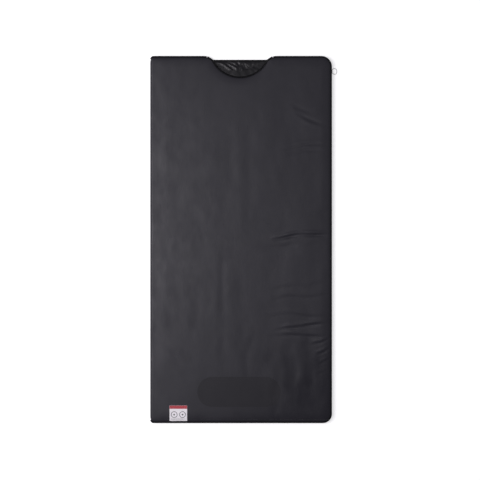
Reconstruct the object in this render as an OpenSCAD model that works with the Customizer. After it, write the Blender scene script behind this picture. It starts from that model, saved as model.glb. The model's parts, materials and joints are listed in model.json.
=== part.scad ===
// Infrared sauna blanket, zipped shut and lying flat.
//
// A heated mat and a heated cover are joined by a sewn fold along one long side. A coil
// zip runs down the other long side, round the foot corner and along the foot. The cover
// turns up and over on the fold, the zip's slider runs down the side, and its pull ring
// swings in the slider's lug.
//
// Millimetres. The origin is the middle of the mat's underside: +X points to the zipped
// side, +Y to the head, +Z up. The cover is the mat's layers upside down, so its modules
// are drawn as a mat and then mirrored about the plane between the two liners.

/* [Blanket] */
// Length from the head edge to the foot edge
blanket_length = 1800; // [1200:10:2200]
// Width from the fold to the zipped edge
blanket_width = 892; // [600:2:1100]
// Thickness of the closed blanket
closed_thickness = 30; // [28:1:48]
// Radius of the outline's corner at the zipped side of the head
head_corner_radius = 52; // [30:1:120]
// Radius of the outline's corner at the zipped side of the foot
foot_corner_radius = 45; // [30:1:120]

/* [Layers] */
// Thickness of the outer shell and of the inner liner
skin_thickness = 1; // [0.6:0.1:1.4]
// Thickness of the foil that sends the heat inwards
reflector_thickness = 0.3; // [0.2:0.1:0.6]
// Thickness of the felt that carries the heating wire
felt_thickness = 2.7; // [1.5:0.1:3.5]
// Room for the wires between the felt and the liner
wire_room = 2.4; // [2.2:0.1:3.6]
// Gap between the mat's liner and the cover's liner
liner_gap = 2; // [1.4:0.1:4]
// Gap left where a layer stops short of the one that wraps it
layer_clearance = 0.3; // [0.1:0.1:1]
// Distance from the head edge to the seam of the head pieces
head_seam_margin = 160; // [130:1:300]
// Distance from the middle of the neck to the seams beside it
neck_seam_offset = 215; // [180:1:260]

/* [Piping] */
// Radius of the piping cord along the edges
piping_radius = 2.9; // [2:0.1:3.4]
// Height of the flange that holds the piping in the seam
piping_flange = 1.2; // [0.8:0.1:2]
// Gap between the piping cord and the shell behind it
piping_seat = 0.2; // [0.1:0.1:0.6]
// Gap between an end of the piping and what it stops at
piping_end_gap = 0.25; // [0.1:0.05:1]

/* [Neck] */
// Depth of the notch in the head edge of both panels
neck_notch_depth = 17; // [10:1:40]
// Width of the notch at the head edge
neck_notch_top = 319; // [220:1:400]
// Width of the notch at its bottom
neck_notch_bottom = 265; // [160:1:380]
// Radius of the round scoop in the cover
neck_scoop_radius = 147; // [90:1:180]
// Depth of the scoop below the head edge
neck_scoop_depth = 101; // [50:1:110]
// Offset of the neck from the middle, towards the zip
neck_offset = -5; // [-30:1:30]
// Width of the binding that wraps the neck's edge
neck_binding_width = 2; // [1.5:0.1:4]
// Distance from the neck's edge to the foil and felt
neck_core_margin = 6; // [5:1:20]

/* [Heating] */
// Number of straight runs of heating wire in each panel
heater_runs = 12; // [4:2:16]
// Radius of the heating wire with its insulation
heating_wire_radius = 1.1; // [0.6:0.05:1.1]
// Radius of the lead wires
lead_radius = 0.9; // [0.5:0.05:1]
// Distance from the outline's sides to the outermost runs
heater_side_margin = 83; // [80:1:140]
// Distance from the foot edge to the start of the runs
heater_foot_margin = 100; // [96:1:160]
// Gap between the heater's head end and the neck's binding
heater_neck_gap = 17; // [10:1:60]
// Length of the temperature sensor
thermistor_length = 12; // [6:1:20]
// Distance from the heater's head end to the temperature sensor
thermistor_reach = 700; // [200:10:900]
// Size of the thermal cut-out across, along and through the panel
cutout_size = [10, 24, 2.2];

/* [Zip] */
// Thickness of the zip's tape
tape_thickness = 0.6; // [0.4:0.1:0.8]
// Radius of the zip's coil
coil_radius = 1.1; // [0.8:0.05:1.15]
// Gap between the two coils
coil_gap = 1.4; // [1.2:0.1:2]
// Gap between the two tapes
tape_gap = 1.2; // [1.1:0.1:1.4]
// Width of the tape's sewn edge on the hem
tape_seam = 2.1; // [1:0.1:3]
// Distance from the head edge to the end of the mat's tape
zip_head_margin = 56; // [54:1:120]
// Distance from the fold to the zip's start along the foot
zip_foot_margin = 116; // [110:1:300]
// Length of the slider
slider_length = 18; // [12:0.5:22]
// Thickness of the slider's plates
slider_plate = 1.5; // [1:0.1:1.6]
// Height of the slider's plates
slider_height = 12; // [11:0.2:12.4]
// Gap between the slider and what it runs on
slider_clearance = 0.3; // [0.2:0.05:0.35]
// Length of the straight run from the parked slider to the foot
slider_travel = 1640; // [600:10:1700]
// Radius of the pull ring to the middle of its wire
ring_radius = 14.3; // [10:0.1:20]
// Radius of the pull ring's wire
ring_wire_radius = 1.2; // [0.8:0.05:1.3]
// Radius of the bore in the slider's lug
lug_bore_radius = 1.9; // [1.7:0.05:2.2]
// Thickness of the slider's lug
lug_thickness = 2.4; // [1.6:0.1:3]

/* [Power inlet] */
// Distance from the fold to the middle of the inlet
inlet_offset = 61; // [50:1:70]
// Size of the moulded block across, into and through the panel
inlet_block = [54, 28, 12];
// Radius of the bore that takes the plug
inlet_bore_radius = 4.5; // [3:0.1:4.7]
// Depth of the bore that takes the plug
inlet_bore_depth = 6; // [4:0.5:10]
// Wall of the metal sleeve round the bore
inlet_sleeve_wall = 0.9; // [0.5:0.1:1]
// Radius of a contact pin
inlet_pin_radius = 0.5; // [0.3:0.05:0.7]
// Distance of the fixing screws from the middle of the inlet
inlet_screw_offset = 18; // [10:1:22]

/* [Patches] */
// Size of the care label across and along the cover
care_label_size = [86, 76];
// Distance from the fold and from the foot edge to the care label
care_label_margin = [96, 11];
// Length and width of the blank patch on the cover
blank_patch_size = [408, 148];
// Distance from the foot edge to the middle of the blank patch
blank_patch_height = 154; // [140:1:400]
// Offset of the blank patch from the middle, towards the zip
blank_patch_offset = -10; // [-60:1:60]
// Thickness of the care label
care_label_thickness = 0.3; // [0.2:0.1:0.6]
// Thickness of the blank patch
blank_patch_thickness = 0.4; // [0.2:0.1:1]

/* [Hidden] */
$fn = 64;
eps = 0.01;

// colours of the visible materials
shell_colour = "#3d3c41";
edge_colour = "#1c1c20";
liner_colour = "#232227";
metal_colour = "#c4c6c8";

// the blanket's half sizes, and the fold's axis between the two panels
half_length = blanket_length / 2;
half_width = blanket_width / 2;
mid_z = closed_thickness / 2;
fold_x = mid_z - half_width;
fold_lip = 0.5;
plate_x = fold_x + fold_lip;

// distances inwards from the outline
rim = 2 * piping_radius + piping_seat;
tape_inset = rim - tape_thickness;
coil_inset = tape_inset - coil_radius;
liner_step = 4;
liner_inset = rim + liner_step;
core_inset = liner_inset + skin_thickness + layer_clearance;

// heights of the mat's layers
liner_top = mid_z - liner_gap / 2;
liner_bottom = liner_top - skin_thickness;
felt_top = liner_bottom - wire_room;
felt_bottom = felt_top - felt_thickness;
reflector_bottom = felt_bottom - reflector_thickness;
hem_top = reflector_bottom + skin_thickness;
wire_z = felt_top + heating_wire_radius;
lead_z = felt_top + lead_radius;

// the zip's heights, and its end at the head: the mat's tape runs on past the staple that
// stops the slider, and the cover's zip begins just below the parked slider
tape_top = mid_z - tape_gap / 2;
tape_bottom = hem_top - tape_seam;
coil_z = mid_z - coil_gap / 2 - coil_radius;
tape_end = 2.5;
stop_length = 3;
stop_depth = 1.5;
stop_height = 4;
stop_gap = 2.5;
meshing_gap = 0.5;
zip_head_y = half_length - zip_head_margin;
stop_y = zip_head_y - tape_end - stop_length;
slider_y = stop_y - stop_gap - slider_length / 2;
cover_zip_head_y = slider_y - slider_length / 2 - meshing_gap;

// the zip's start along the foot: the box on the mat's tape and the pin on the cover's
tape_tail = 8;
box_length = 12;
box_wall = 0.9;
box_depth = 3.6;
box_floor = 1.7;
box_height = 5;
box_overlap = 4;
pin_width = 1.9;
pin_gap = 0.35;
pin_head_height = 3.5;
coil_start_gap = 1;
zip_foot_x = zip_foot_margin - half_width;
box_x = zip_foot_x - box_overlap;
coil_foot_x = box_x + box_length + coil_start_gap;

// the neck: how much wider each side gets per millimetre of depth and of growth
neck_flare = (neck_notch_top - neck_notch_bottom) / 2 / neck_notch_depth;
neck_growth = sqrt(1 + neck_flare * neck_flare);
neck_scoop_y = half_length - neck_scoop_depth + neck_scoop_radius;
neck_seam_left = neck_offset - neck_seam_offset;
neck_seam_right = neck_offset + neck_seam_offset;

// the serpentine of heating wire, its pitch rounded so that its runs and turns meet
pitch_step = 0.02;
first_run_x = heater_side_margin - half_width;
run_pitch = pitch_step * round(-2 * first_run_x / (heater_runs - 1) / pitch_step);
last_run_x = first_run_x + run_pitch * (heater_runs - 1);
run_turn = run_pitch / 2;
run_foot_y = heater_foot_margin - half_length;
run_head_y = half_length - neck_scoop_depth - neck_binding_width - heater_neck_gap
    - run_turn;
sensor_x = first_run_x + run_pitch * (heater_runs / 2 - 1.5);
sensor_y = run_head_y - thermistor_reach;
cutout_gap = 6;
cutout_foot_y = run_foot_y - cutout_gap - cutout_size[1];

// bends of the leads, and distances of their lanes from the foot edge and from the fold
lead_bend = 10;
lead_pitch = 3.5;
return_lane = 38;
sensor_lane = 44;
feed_lane = 50;
fold_lane_y = 98;
fold_lane_pitch = 5;
cover_lane_x = 56;
cutout_entry = 5;

// the power inlet
inlet_x = inlet_offset - half_width;
inlet_front = -half_length;
inlet_back = inlet_front + inlet_block[1];
inlet_bottom = skin_thickness;
inlet_z = inlet_bottom + inlet_block[2] / 2;
inlet_sleeve_radius = inlet_bore_radius + inlet_sleeve_wall;
inlet_sleeve_length = inlet_block[1] - 10;
inlet_back_wall = 2;
// offsets of the leads from the inlet's middle where they leave its back
return_exit = 10;
sensor_exit = 3;
feed_exit = -4;
cover_exit = -18;

function outline_x(inset) = half_width - inset;
function outline_y(inset) = half_length - inset;
// half the notch's width at a depth below the head edge, grown outwards
function notch_half(depth, grow) =
    neck_notch_bottom / 2 + neck_flare * (neck_notch_depth - depth) + neck_growth * grow;
function lane_y(from_foot) = from_foot - half_length;
function lane_x(from_fold) = from_fold - half_width;

// ---- shared shapes ----

module upside_down() {
    translate([0, 0, closed_thickness]) mirror([0, 0, 1]) children();
}

module layer(bottom, top) {
    translate([0, 0, bottom]) linear_extrude(top - bottom) children();
}

// the part of a layer on the head's side of the seam near the head, between two seams
module head_side(from_x = -half_width - 1, to_x = half_width + 1) {
    intersection() {
        children();
        head_block(from_x, to_x);
    }
}

module foot_side() {
    difference() {
        children();
        head_block(-half_width - 1, half_width + 1);
    }
}

module head_block(from_x, to_x) {
    translate([from_x, half_length - head_seam_margin, -1])
        cube([to_x - from_x, head_seam_margin + 1, closed_thickness + 2]);
}

// one rounded corner of the outline, to be taken out of a square one
module corner_waste(radius) {
    difference() {
        translate([-radius, -radius]) square(radius + 1);
        translate([-radius, -radius]) circle(radius, $fn = 96);
    }
}

// the panel's outline, straight at the fold and rounded at the two zipped corners
module outline(inset, fold_side = plate_x) {
    right = outline_x(inset);
    top = outline_y(inset);
    difference() {
        translate([fold_side, -top]) square([right - fold_side, 2 * top]);
        translate([right, top]) corner_waste(head_corner_radius - inset);
        translate([right, -top]) mirror([0, 1]) corner_waste(foot_corner_radius - inset);
    }
}

module neck_notch(grow) {
    above = 30;
    deep = neck_notch_depth + grow;
    translate([neck_offset, half_length])
        polygon([
            [-notch_half(deep, grow), -deep], [notch_half(deep, grow), -deep],
            [notch_half(-above, grow), above], [-notch_half(-above, grow), above]
        ]);
}

module neck_scoop(grow) {
    translate([neck_offset, neck_scoop_y]) circle(neck_scoop_radius + grow, $fn = 180);
}

// the neck's cut through a panel: the mat has the notch, the cover the scoop as well
module neck_cut(grow, scoop) {
    neck_notch(grow);
    if (scoop) neck_scoop(grow);
}

// the moulded inlet's place in the mat, grown by a clearance
module inlet_zone(grow) {
    translate([inlet_x - inlet_block[0] / 2 - grow, inlet_front - 1])
        square([inlet_block[0] + 2 * grow, inlet_block[1] + 1 + grow]);
}

// a wire in the plane of the panel, and its quarter and half turns
module wire(from, to, radius) {
    run = to - from;
    translate([from[0], from[1], 0])
        rotate([0, 90, atan2(run[1], run[0])]) cylinder(norm(run), r = radius, $fn = 24);
}

module wire_turn(centre, turn, start, sweep, radius) {
    translate([centre[0], centre[1], 0]) rotate(start)
        rotate_extrude(angle = sweep, $fn = 64)
            translate([turn, 0]) circle(radius, $fn = 24);
}

// ---- layers of a panel ----

// outer shell: its floor, the hem turned up round the edge and the ledge over the batting
module shell_layer(scoop) {
    difference() {
        layer(0, hem_top) difference() {
            outline(rim);
            neck_cut(neck_binding_width, scoop);
        }
        layer(skin_thickness, reflector_bottom) outline(rim + skin_thickness, plate_x - 1);
        layer(reflector_bottom - eps, hem_top + 1)
            outline(liner_inset + skin_thickness, plate_x - 1);
    }
}

module batting_layer(scoop) {
    layer(skin_thickness, reflector_bottom) difference() {
        outline(rim + skin_thickness);
        neck_cut(neck_binding_width, scoop);
    }
}

module core_layer(bottom, top, scoop) {
    layer(bottom, top) difference() {
        outline(core_inset);
        neck_cut(neck_core_margin, scoop);
    }
}

// inner liner: a sheet with a wall turned down to the ledge of the shell
module liner_layer(scoop) {
    difference() {
        layer(hem_top, liner_top) difference() {
            outline(liner_inset);
            neck_cut(neck_binding_width, scoop);
        }
        layer(hem_top - 1, liner_bottom) outline(liner_inset + skin_thickness, plate_x - 1);
    }
}

module neck_binding_strip(scoop) {
    layer(0, liner_top) intersection() {
        outline(0);
        difference() {
            neck_cut(neck_binding_width, scoop);
            neck_cut(0, scoop);
        }
    }
}

// the wire winds up and down the panel, with its two ends at the foot
module heating_wire() {
    translate([0, 0, wire_z]) {
        for (run = [0 : heater_runs - 1])
            wire([first_run_x + run * run_pitch, run_foot_y],
                [first_run_x + run * run_pitch, run_head_y], heating_wire_radius);
        for (run = [0 : 2 : heater_runs - 2])
            wire_turn([first_run_x + run * run_pitch + run_turn, run_head_y], run_turn,
                0, 180, heating_wire_radius);
        for (run = [1 : 2 : heater_runs - 3])
            wire_turn([first_run_x + run * run_pitch + run_turn, run_foot_y], run_turn,
                180, 180, heating_wire_radius);
    }
}

module thermistor() {
    translate([0, 0, wire_z])
        wire([sensor_x, sensor_y], [sensor_x, sensor_y + thermistor_length],
            heating_wire_radius);
}

// it sits in the feed lead, just below the start of the first run
module thermal_cutout() {
    translate([first_run_x - cutout_size[0] / 2, cutout_foot_y, felt_top])
        cube(cutout_size);
}

// a lead from the sensor down to its lane and along it towards the fold
module sensor_lead(lane_end) {
    wire([sensor_x, sensor_y], [sensor_x, lane_y(sensor_lane) + lead_bend], lead_radius);
    wire_turn([sensor_x - lead_bend, lane_y(sensor_lane) + lead_bend], lead_bend,
        270, 90, lead_radius);
    wire([lane_end, lane_y(sensor_lane)], [sensor_x - lead_bend, lane_y(sensor_lane)],
        lead_radius);
}

// a lead from the last run's end down to its lane and along it towards the fold
module return_lead(lane_end) {
    wire([last_run_x, lane_y(return_lane) + lead_bend], [last_run_x, run_foot_y],
        lead_radius);
    wire_turn([last_run_x - lead_bend, lane_y(return_lane) + lead_bend], lead_bend,
        270, 90, lead_radius);
    wire([lane_end, lane_y(return_lane)], [last_run_x - lead_bend, lane_y(return_lane)],
        lead_radius);
}

// ---- piping, zip halves ----

// the cord along one side of a panel's edge, from one end of the path to the other
module piping_cord(neck_half, foot_gap) {
    r = piping_radius;
    x = outline_x(r);
    y = outline_y(r);
    head_turn = head_corner_radius - r;
    foot_turn = foot_corner_radius - r;
    translate([0, 0, r]) {
        wire([plate_x, y], [neck_offset - neck_half, y], r);
        wire([neck_offset + neck_half, y], [x - head_turn, y], r);
        wire_turn([x - head_turn, y - head_turn], head_turn, 0, 90, r);
        wire([x, foot_turn - y], [x, y - head_turn], r);
        wire_turn([x - foot_turn, foot_turn - y], foot_turn, 270, 90, r);
        if (foot_gap > 0) {
            wire([inlet_x + foot_gap, -y], [x - foot_turn, -y], r);
            wire([plate_x, -y], [inlet_x - foot_gap, -y], r);
        } else {
            wire([plate_x, -y], [x - foot_turn, -y], r);
        }
    }
}

module panel_piping(foot_gap) {
    neck_half = notch_half(0, neck_binding_width) + piping_end_gap;
    piping_cord(neck_half, foot_gap);
    layer(piping_radius - piping_flange / 2, piping_radius + piping_flange / 2)
        difference() {
            outline(piping_radius + 1);
            outline(rim, plate_x - 1);
            translate([neck_offset - neck_half, 0]) square([2 * neck_half, half_length]);
            if (foot_gap > 0)
                translate([inlet_x - foot_gap, inlet_front])
                    square([2 * foot_gap, half_length]);
        }
}

// the stretch of edge that the zip follows: the zipped side and the foot
module zip_stretch(head_y, foot_x) {
    translate([foot_x, -half_length]) square([half_width - foot_x, half_length + head_y]);
}

module zip_tape(head_y) {
    layer(tape_bottom, tape_top) intersection() {
        difference() {
            outline(tape_inset);
            outline(rim, plate_x - 1);
        }
        zip_stretch(head_y, zip_foot_x - tape_tail);
    }
}

module zip_coil(head_y) {
    x = outline_x(coil_inset);
    y = outline_y(coil_inset);
    turn = foot_corner_radius - coil_inset;
    translate([0, 0, coil_z]) {
        wire([x, turn - y], [x, head_y], coil_radius);
        wire_turn([x - turn, turn - y], turn, 270, 90, coil_radius);
        wire([coil_foot_x, -y], [x - turn, -y], coil_radius);
    }
}

// ---- mat ----

module mat_outer_shell() {
    color(shell_colour) foot_side() difference() {
        shell_layer(false);
        layer(inlet_bottom, closed_thickness) inlet_zone(0);
    }
}

module mat_neck_shell() {
    color(shell_colour) head_side(neck_seam_left, neck_seam_right) shell_layer(false);
}

module mat_shoulder_shell_left() {
    color(shell_colour) head_side(to_x = neck_seam_left) shell_layer(false);
}

module mat_shoulder_shell_right() {
    color(shell_colour) head_side(from_x = neck_seam_right) shell_layer(false);
}

module mat_batting() {
    color("#d8d4cc") foot_side() difference() {
        batting_layer(false);
        layer(0, closed_thickness) inlet_zone(layer_clearance);
    }
}

module mat_head_batting() {
    color("#d8d4cc") head_side() batting_layer(false);
}

module mat_heat_reflector() {
    color("#cfd2d6") difference() {
        core_layer(reflector_bottom, felt_bottom, false);
        layer(0, closed_thickness) inlet_zone(layer_clearance);
    }
}

module mat_heater_felt() {
    color("#9a958c") difference() {
        core_layer(felt_bottom, felt_top, false);
        layer(0, closed_thickness) inlet_zone(layer_clearance);
    }
}

module mat_heating_wire() {
    color("#b5533c") heating_wire();
}

module mat_liner() {
    color(liner_colour) foot_side() difference() {
        liner_layer(false);
        layer(0, liner_bottom) inlet_zone(layer_clearance);
    }
}

module mat_neck_facing() {
    color(liner_colour) head_side(neck_seam_left, neck_seam_right) liner_layer(false);
}

module mat_shoulder_liner_left() {
    color(liner_colour) head_side(to_x = neck_seam_left) liner_layer(false);
}

module mat_shoulder_liner_right() {
    color(liner_colour) head_side(from_x = neck_seam_right) liner_layer(false);
}

module mat_piping() {
    color(edge_colour) panel_piping(inlet_block[0] / 2 + piping_end_gap);
}

module mat_neck_binding() {
    color(edge_colour) neck_binding_strip(false);
}

module mat_thermistor() {
    color("#2f4f6f") thermistor();
}

module mat_thermal_cutout() {
    color("#dcdcd8") thermal_cutout();
}

// leads from the inlet's back to the heater, the sensor and the fold
module mat_leads() {
    exit_y = inlet_back;
    return_x = inlet_x + return_exit;
    sensor_exit_x = inlet_x + sensor_exit;
    feed_x = inlet_x + feed_exit;
    feed_y = lane_y(feed_lane);
    color("#8f2f2a") translate([0, 0, lead_z]) {
        // from the first run through the cut-out to the inlet
        wire([first_run_x, run_foot_y - cutout_gap], [first_run_x, run_foot_y],
            lead_radius);
        wire([first_run_x, feed_y + lead_bend], [first_run_x, cutout_foot_y], lead_radius);
        wire_turn([first_run_x - lead_bend, feed_y + lead_bend], lead_bend, 270, 90,
            lead_radius);
        wire([feed_x + lead_bend, feed_y], [first_run_x - lead_bend, feed_y], lead_radius);
        wire_turn([feed_x + lead_bend, feed_y - lead_bend], lead_bend, 90, 90, lead_radius);
        wire([feed_x, exit_y], [feed_x, feed_y - lead_bend], lead_radius);
        // from the sensor
        sensor_lead(sensor_exit_x + lead_bend);
        wire_turn([sensor_exit_x + lead_bend, lane_y(sensor_lane) - lead_bend], lead_bend,
            90, 90, lead_radius);
        wire([sensor_exit_x, exit_y], [sensor_exit_x, lane_y(sensor_lane) - lead_bend],
            lead_radius);
        // from the last run
        return_lead(return_x + lead_bend);
        wire_turn([return_x + lead_bend, lane_y(return_lane) - lead_bend], lead_bend,
            90, 90, lead_radius);
        // three leads to the cover, side by side
        for (lane = [0 : 2]) {
            lane_at = [inlet_x + cover_exit + lane * lead_pitch,
                lane_y(fold_lane_y + lane * fold_lane_pitch)];
            wire([lane_at[0], exit_y], [lane_at[0], lane_at[1] - lead_bend], lead_radius);
            wire_turn([lane_at[0] - lead_bend, lane_at[1] - lead_bend], lead_bend, 0, 90,
                lead_radius);
            wire([plate_x, lane_at[1]], [lane_at[0] - lead_bend, lane_at[1]], lead_radius);
        }
    }
}

module zip_tape_mat() {
    color(edge_colour) zip_tape(zip_head_y);
}

module zip_coil_mat() {
    color(edge_colour) zip_coil(stop_y - layer_clearance);
}

// a metal staple clenched over the tape above the parked slider
module zip_top_stop() {
    color(metal_colour) difference() {
        translate([outline_x(rim) - stop_depth, stop_y, tape_top - stop_height])
            cube([tape_thickness + 2 * stop_depth, stop_length, stop_height]);
        translate([outline_x(rim), stop_y - 1, tape_top - stop_height - 1])
            cube([tape_thickness, stop_length + 2, stop_height + 2]);
    }
}

// the box at the zip's start, open at its top for the pin on the cover's tape
module zip_box() {
    front = -outline_y(tape_inset);
    slot_length = box_length - 2 * box_wall;
    color(metal_colour) translate([box_x, front, tape_top - box_height])
        difference() {
            translate([0, -box_depth, 0]) cube([box_length, box_depth, box_height]);
            translate([box_wall, -box_depth + box_wall, box_floor])
                cube([slot_length, box_depth, box_height]);
        }
}

// ---- fold ----

// a strip bent round the fold's axis, with a short lip on to each panel
module fold_bend(outer, inner, inset) {
    translate([fold_x, outline_y(inset), mid_z]) rotate([90, 0, 0])
        linear_extrude(2 * outline_y(inset)) {
            intersection() {
                difference() {
                    circle(outer, $fn = 64);
                    circle(inner, $fn = 64);
                }
                translate([-outer - 1, -outer - 1]) square([outer + 1, 2 * outer + 2]);
            }
            translate([-eps, inner]) square([fold_lip + eps, outer - inner]);
            translate([-eps, -outer]) square([fold_lip + eps, outer - inner]);
        }
}

liner_bend = liner_gap / 2;

// the shell's strip round the fold, closed by a gusset near each end
module fold_spine() {
    gusset_outer = mid_z - skin_thickness;
    gusset_inner = liner_bend + skin_thickness + layer_clearance;
    color(shell_colour) {
        fold_bend(mid_z, mid_z - skin_thickness, rim);
        for (side = [-1, 1])
            translate([fold_x, side * (outline_y(liner_inset) - skin_thickness / 2), mid_z])
                rotate([90, 0, 0])
                    linear_extrude(skin_thickness, center = true) intersection() {
                        difference() {
                            circle(gusset_outer + skin_thickness / 2, $fn = 64);
                            circle(gusset_inner, $fn = 32);
                        }
                        translate([-mid_z, -mid_z]) square([mid_z, 2 * mid_z]);
                    }
    }
}

module fold_liner() {
    color(liner_colour) fold_bend(liner_bend + skin_thickness, liner_bend, liner_inset);
}

// a half turn of cord round the fold's axis, joined to both panels
module fold_turn(turn, y, radius) {
    translate([fold_x, y, mid_z]) rotate([90, 0, 0]) rotate(90)
        rotate_extrude(angle = 180, $fn = 64)
            translate([turn, 0]) circle(radius, $fn = 24);
    for (side = [-1, 1])
        translate([fold_x, y, mid_z + side * turn]) rotate([0, 90, 0])
            cylinder(fold_lip, r = radius, $fn = 24);
}

module fold_piping() {
    color(edge_colour)
        for (side = [-1, 1])
            fold_turn(mid_z - piping_radius, side * outline_y(piping_radius), piping_radius);
}

module crossover_leads() {
    color("#8f2f2a")
        for (lane = [0 : 2])
            fold_turn(mid_z - lead_z, lane_y(fold_lane_y + lane * fold_lane_pitch),
                lead_radius);
}

// ---- power inlet ----

// a bar along the inlet's axis, measured from its front face
module inlet_bar(from, to, radius, dx = 0, dz = 0) {
    translate([inlet_x + dx, inlet_front + from, inlet_z + dz]) rotate([-90, 0, 0])
        cylinder(to - from, r = radius, $fn = 48);
}

insulator_length = 10;
insulator_wall = 3;
insulator_step = 0.3;
chamber_step = 0.5;
insulator_back = inlet_bore_depth + insulator_length;
insulator_radius = inlet_bore_radius - insulator_step;
chamber_radius = insulator_radius - chamber_step;
pin_front = 1;
pin_back = 3;
screw_shank_radius = 1.4;
screw_head_radius = 3.2;
screw_head_depth = 1.6;
screw_length = 14;
screw_slot = 0.8;

module screw_shape(side) {
    inlet_bar(0, screw_head_depth, screw_head_radius, side * inlet_screw_offset);
    inlet_bar(screw_head_depth - eps, screw_length, screw_shank_radius,
        side * inlet_screw_offset);
}

module socket_housing() {
    block = inlet_block;
    color("#202024") difference() {
        translate([inlet_x - block[0] / 2, inlet_front, inlet_bottom]) cube(block);
        inlet_bar(-1, inlet_sleeve_length, inlet_sleeve_radius);
        inlet_bar(inlet_sleeve_length - 1, block[1] - inlet_back_wall, chamber_radius);
        for (side = [-1, 1]) {
            screw_shape(side);
            inlet_bar(-1, eps, screw_head_radius, side * inlet_screw_offset);
        }
    }
}

// the bore that takes the plug ends at a step, where the insulator begins
module socket_sleeve() {
    color(metal_colour) difference() {
        inlet_bar(0, inlet_sleeve_length, inlet_sleeve_radius);
        inlet_bar(-1, inlet_bore_depth, inlet_bore_radius);
        inlet_bar(inlet_bore_depth - 1, inlet_sleeve_length + 1, insulator_radius);
    }
}

// it closes the sleeve's back and leaves a chamber in front of it for the pins
module socket_insulator() {
    color("#e6e2d8") difference() {
        inlet_bar(inlet_bore_depth, insulator_back, insulator_radius);
        inlet_bar(inlet_bore_depth - 1, insulator_back - insulator_wall, chamber_radius);
        socket_pin_bars();
    }
}

module socket_pin_bars() {
    for (turn = [90, 210, 330])
        inlet_bar(inlet_bore_depth + pin_front, insulator_back + pin_back, inlet_pin_radius,
            inlet_bore_radius / 2 * cos(turn), inlet_bore_radius / 2 * sin(turn));
}

module socket_pins() {
    color("#c8a45a") socket_pin_bars();
}

// countersunk screws with a straight slot
module socket_screws() {
    color(metal_colour)
        for (side = [-1, 1])
            difference() {
                screw_shape(side);
                translate([inlet_x + side * inlet_screw_offset - screw_slot / 2,
                    inlet_front - 1, inlet_z - screw_head_radius])
                    cube([screw_slot, 1 + screw_slot, 2 * screw_head_radius]);
            }
}

// ---- cover ----

module cover_outer_shell() {
    color(shell_colour) upside_down() shell_layer(true);
}

module cover_batting() {
    color("#d8d4cc") upside_down() foot_side() batting_layer(true);
}

module cover_head_batting() {
    color("#d8d4cc") upside_down() head_side() batting_layer(true);
}

module cover_heat_reflector() {
    color("#cfd2d6") upside_down() core_layer(reflector_bottom, felt_bottom, true);
}

module cover_heater_felt() {
    color("#9a958c") upside_down() core_layer(felt_bottom, felt_top, true);
}

module cover_heating_wire() {
    color("#b5533c") upside_down() heating_wire();
}

module cover_liner() {
    color(liner_colour) upside_down() foot_side() liner_layer(true);
}

module cover_neck_facing() {
    color(liner_colour) upside_down() head_side() liner_layer(true);
}

module cover_piping() {
    color(edge_colour) upside_down() panel_piping(0);
}

module cover_neck_binding() {
    color(edge_colour) upside_down() neck_binding_strip(true);
}

module cover_thermistor() {
    color("#2f4f6f") upside_down() thermistor();
}

module cover_thermal_cutout() {
    color("#dcdcd8") upside_down() thermal_cutout();
}

// leads from the fold to the heater and the sensor, one inside the other
module cover_leads() {
    outer_x = lane_x(cover_lane_x);
    middle_x = outer_x + lead_pitch;
    inner_x = middle_x + lead_pitch;
    outer_y = lane_y(fold_lane_y);
    middle_y = outer_y + fold_lane_pitch;
    inner_y = middle_y + fold_lane_pitch;
    cutout_left = first_run_x - cutout_size[0] / 2;
    cutout_lane = cutout_foot_y + cutout_entry;
    color("#8f2f2a") upside_down() translate([0, 0, lead_z]) {
        // through the cut-out to the first run
        wire([first_run_x, run_foot_y - cutout_gap], [first_run_x, run_foot_y],
            lead_radius);
        wire([plate_x, inner_y], [inner_x - lead_bend, inner_y], lead_radius);
        wire_turn([inner_x - lead_bend, inner_y - lead_bend], lead_bend, 0, 90, lead_radius);
        wire([inner_x, cutout_lane + lead_bend], [inner_x, inner_y - lead_bend],
            lead_radius);
        wire_turn([inner_x + lead_bend, cutout_lane + lead_bend], lead_bend, 180, 90,
            lead_radius);
        wire([inner_x + lead_bend, cutout_lane], [cutout_left, cutout_lane], lead_radius);
        // to the sensor
        wire([plate_x, middle_y], [middle_x - lead_bend, middle_y], lead_radius);
        wire_turn([middle_x - lead_bend, middle_y - lead_bend], lead_bend, 0, 90,
            lead_radius);
        wire([middle_x, lane_y(sensor_lane) + lead_bend],
            [middle_x, middle_y - lead_bend], lead_radius);
        wire_turn([middle_x + lead_bend, lane_y(sensor_lane) + lead_bend], lead_bend,
            180, 90, lead_radius);
        sensor_lead(middle_x + lead_bend);
        // to the last run
        wire([plate_x, outer_y], [outer_x - lead_bend, outer_y], lead_radius);
        wire_turn([outer_x - lead_bend, outer_y - lead_bend], lead_bend, 0, 90,
            lead_radius);
        wire([outer_x, lane_y(return_lane) + lead_bend], [outer_x, outer_y - lead_bend],
            lead_radius);
        wire_turn([outer_x + lead_bend, lane_y(return_lane) + lead_bend], lead_bend,
            180, 90, lead_radius);
        return_lead(outer_x + lead_bend);
    }
}

module zip_tape_cover() {
    color(edge_colour) upside_down() zip_tape(cover_zip_head_y);
}

module zip_coil_cover() {
    color(edge_colour) upside_down() zip_coil(cover_zip_head_y);
}

// the pin hangs from the cover's tape into the box on the mat's tape
module zip_pin() {
    tape_face = -outline_y(tape_inset);
    slot_front = tape_face - box_depth + box_wall;
    slot_left = box_x + box_wall;
    slot_length = box_length - 2 * box_wall;
    pin_bottom = tape_top - box_height + box_floor + pin_gap;
    tape_edge = closed_thickness - tape_top;
    color(metal_colour) {
        translate([slot_left + pin_gap, slot_front + pin_gap, pin_bottom])
            cube([slot_length - 2 * pin_gap, pin_width, tape_edge - pin_bottom + eps]);
        translate([slot_left + pin_gap, slot_front + pin_gap, tape_edge])
            cube([slot_length - 2 * pin_gap, tape_face - slot_front - pin_gap,
                pin_head_height]);
    }
}

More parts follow.
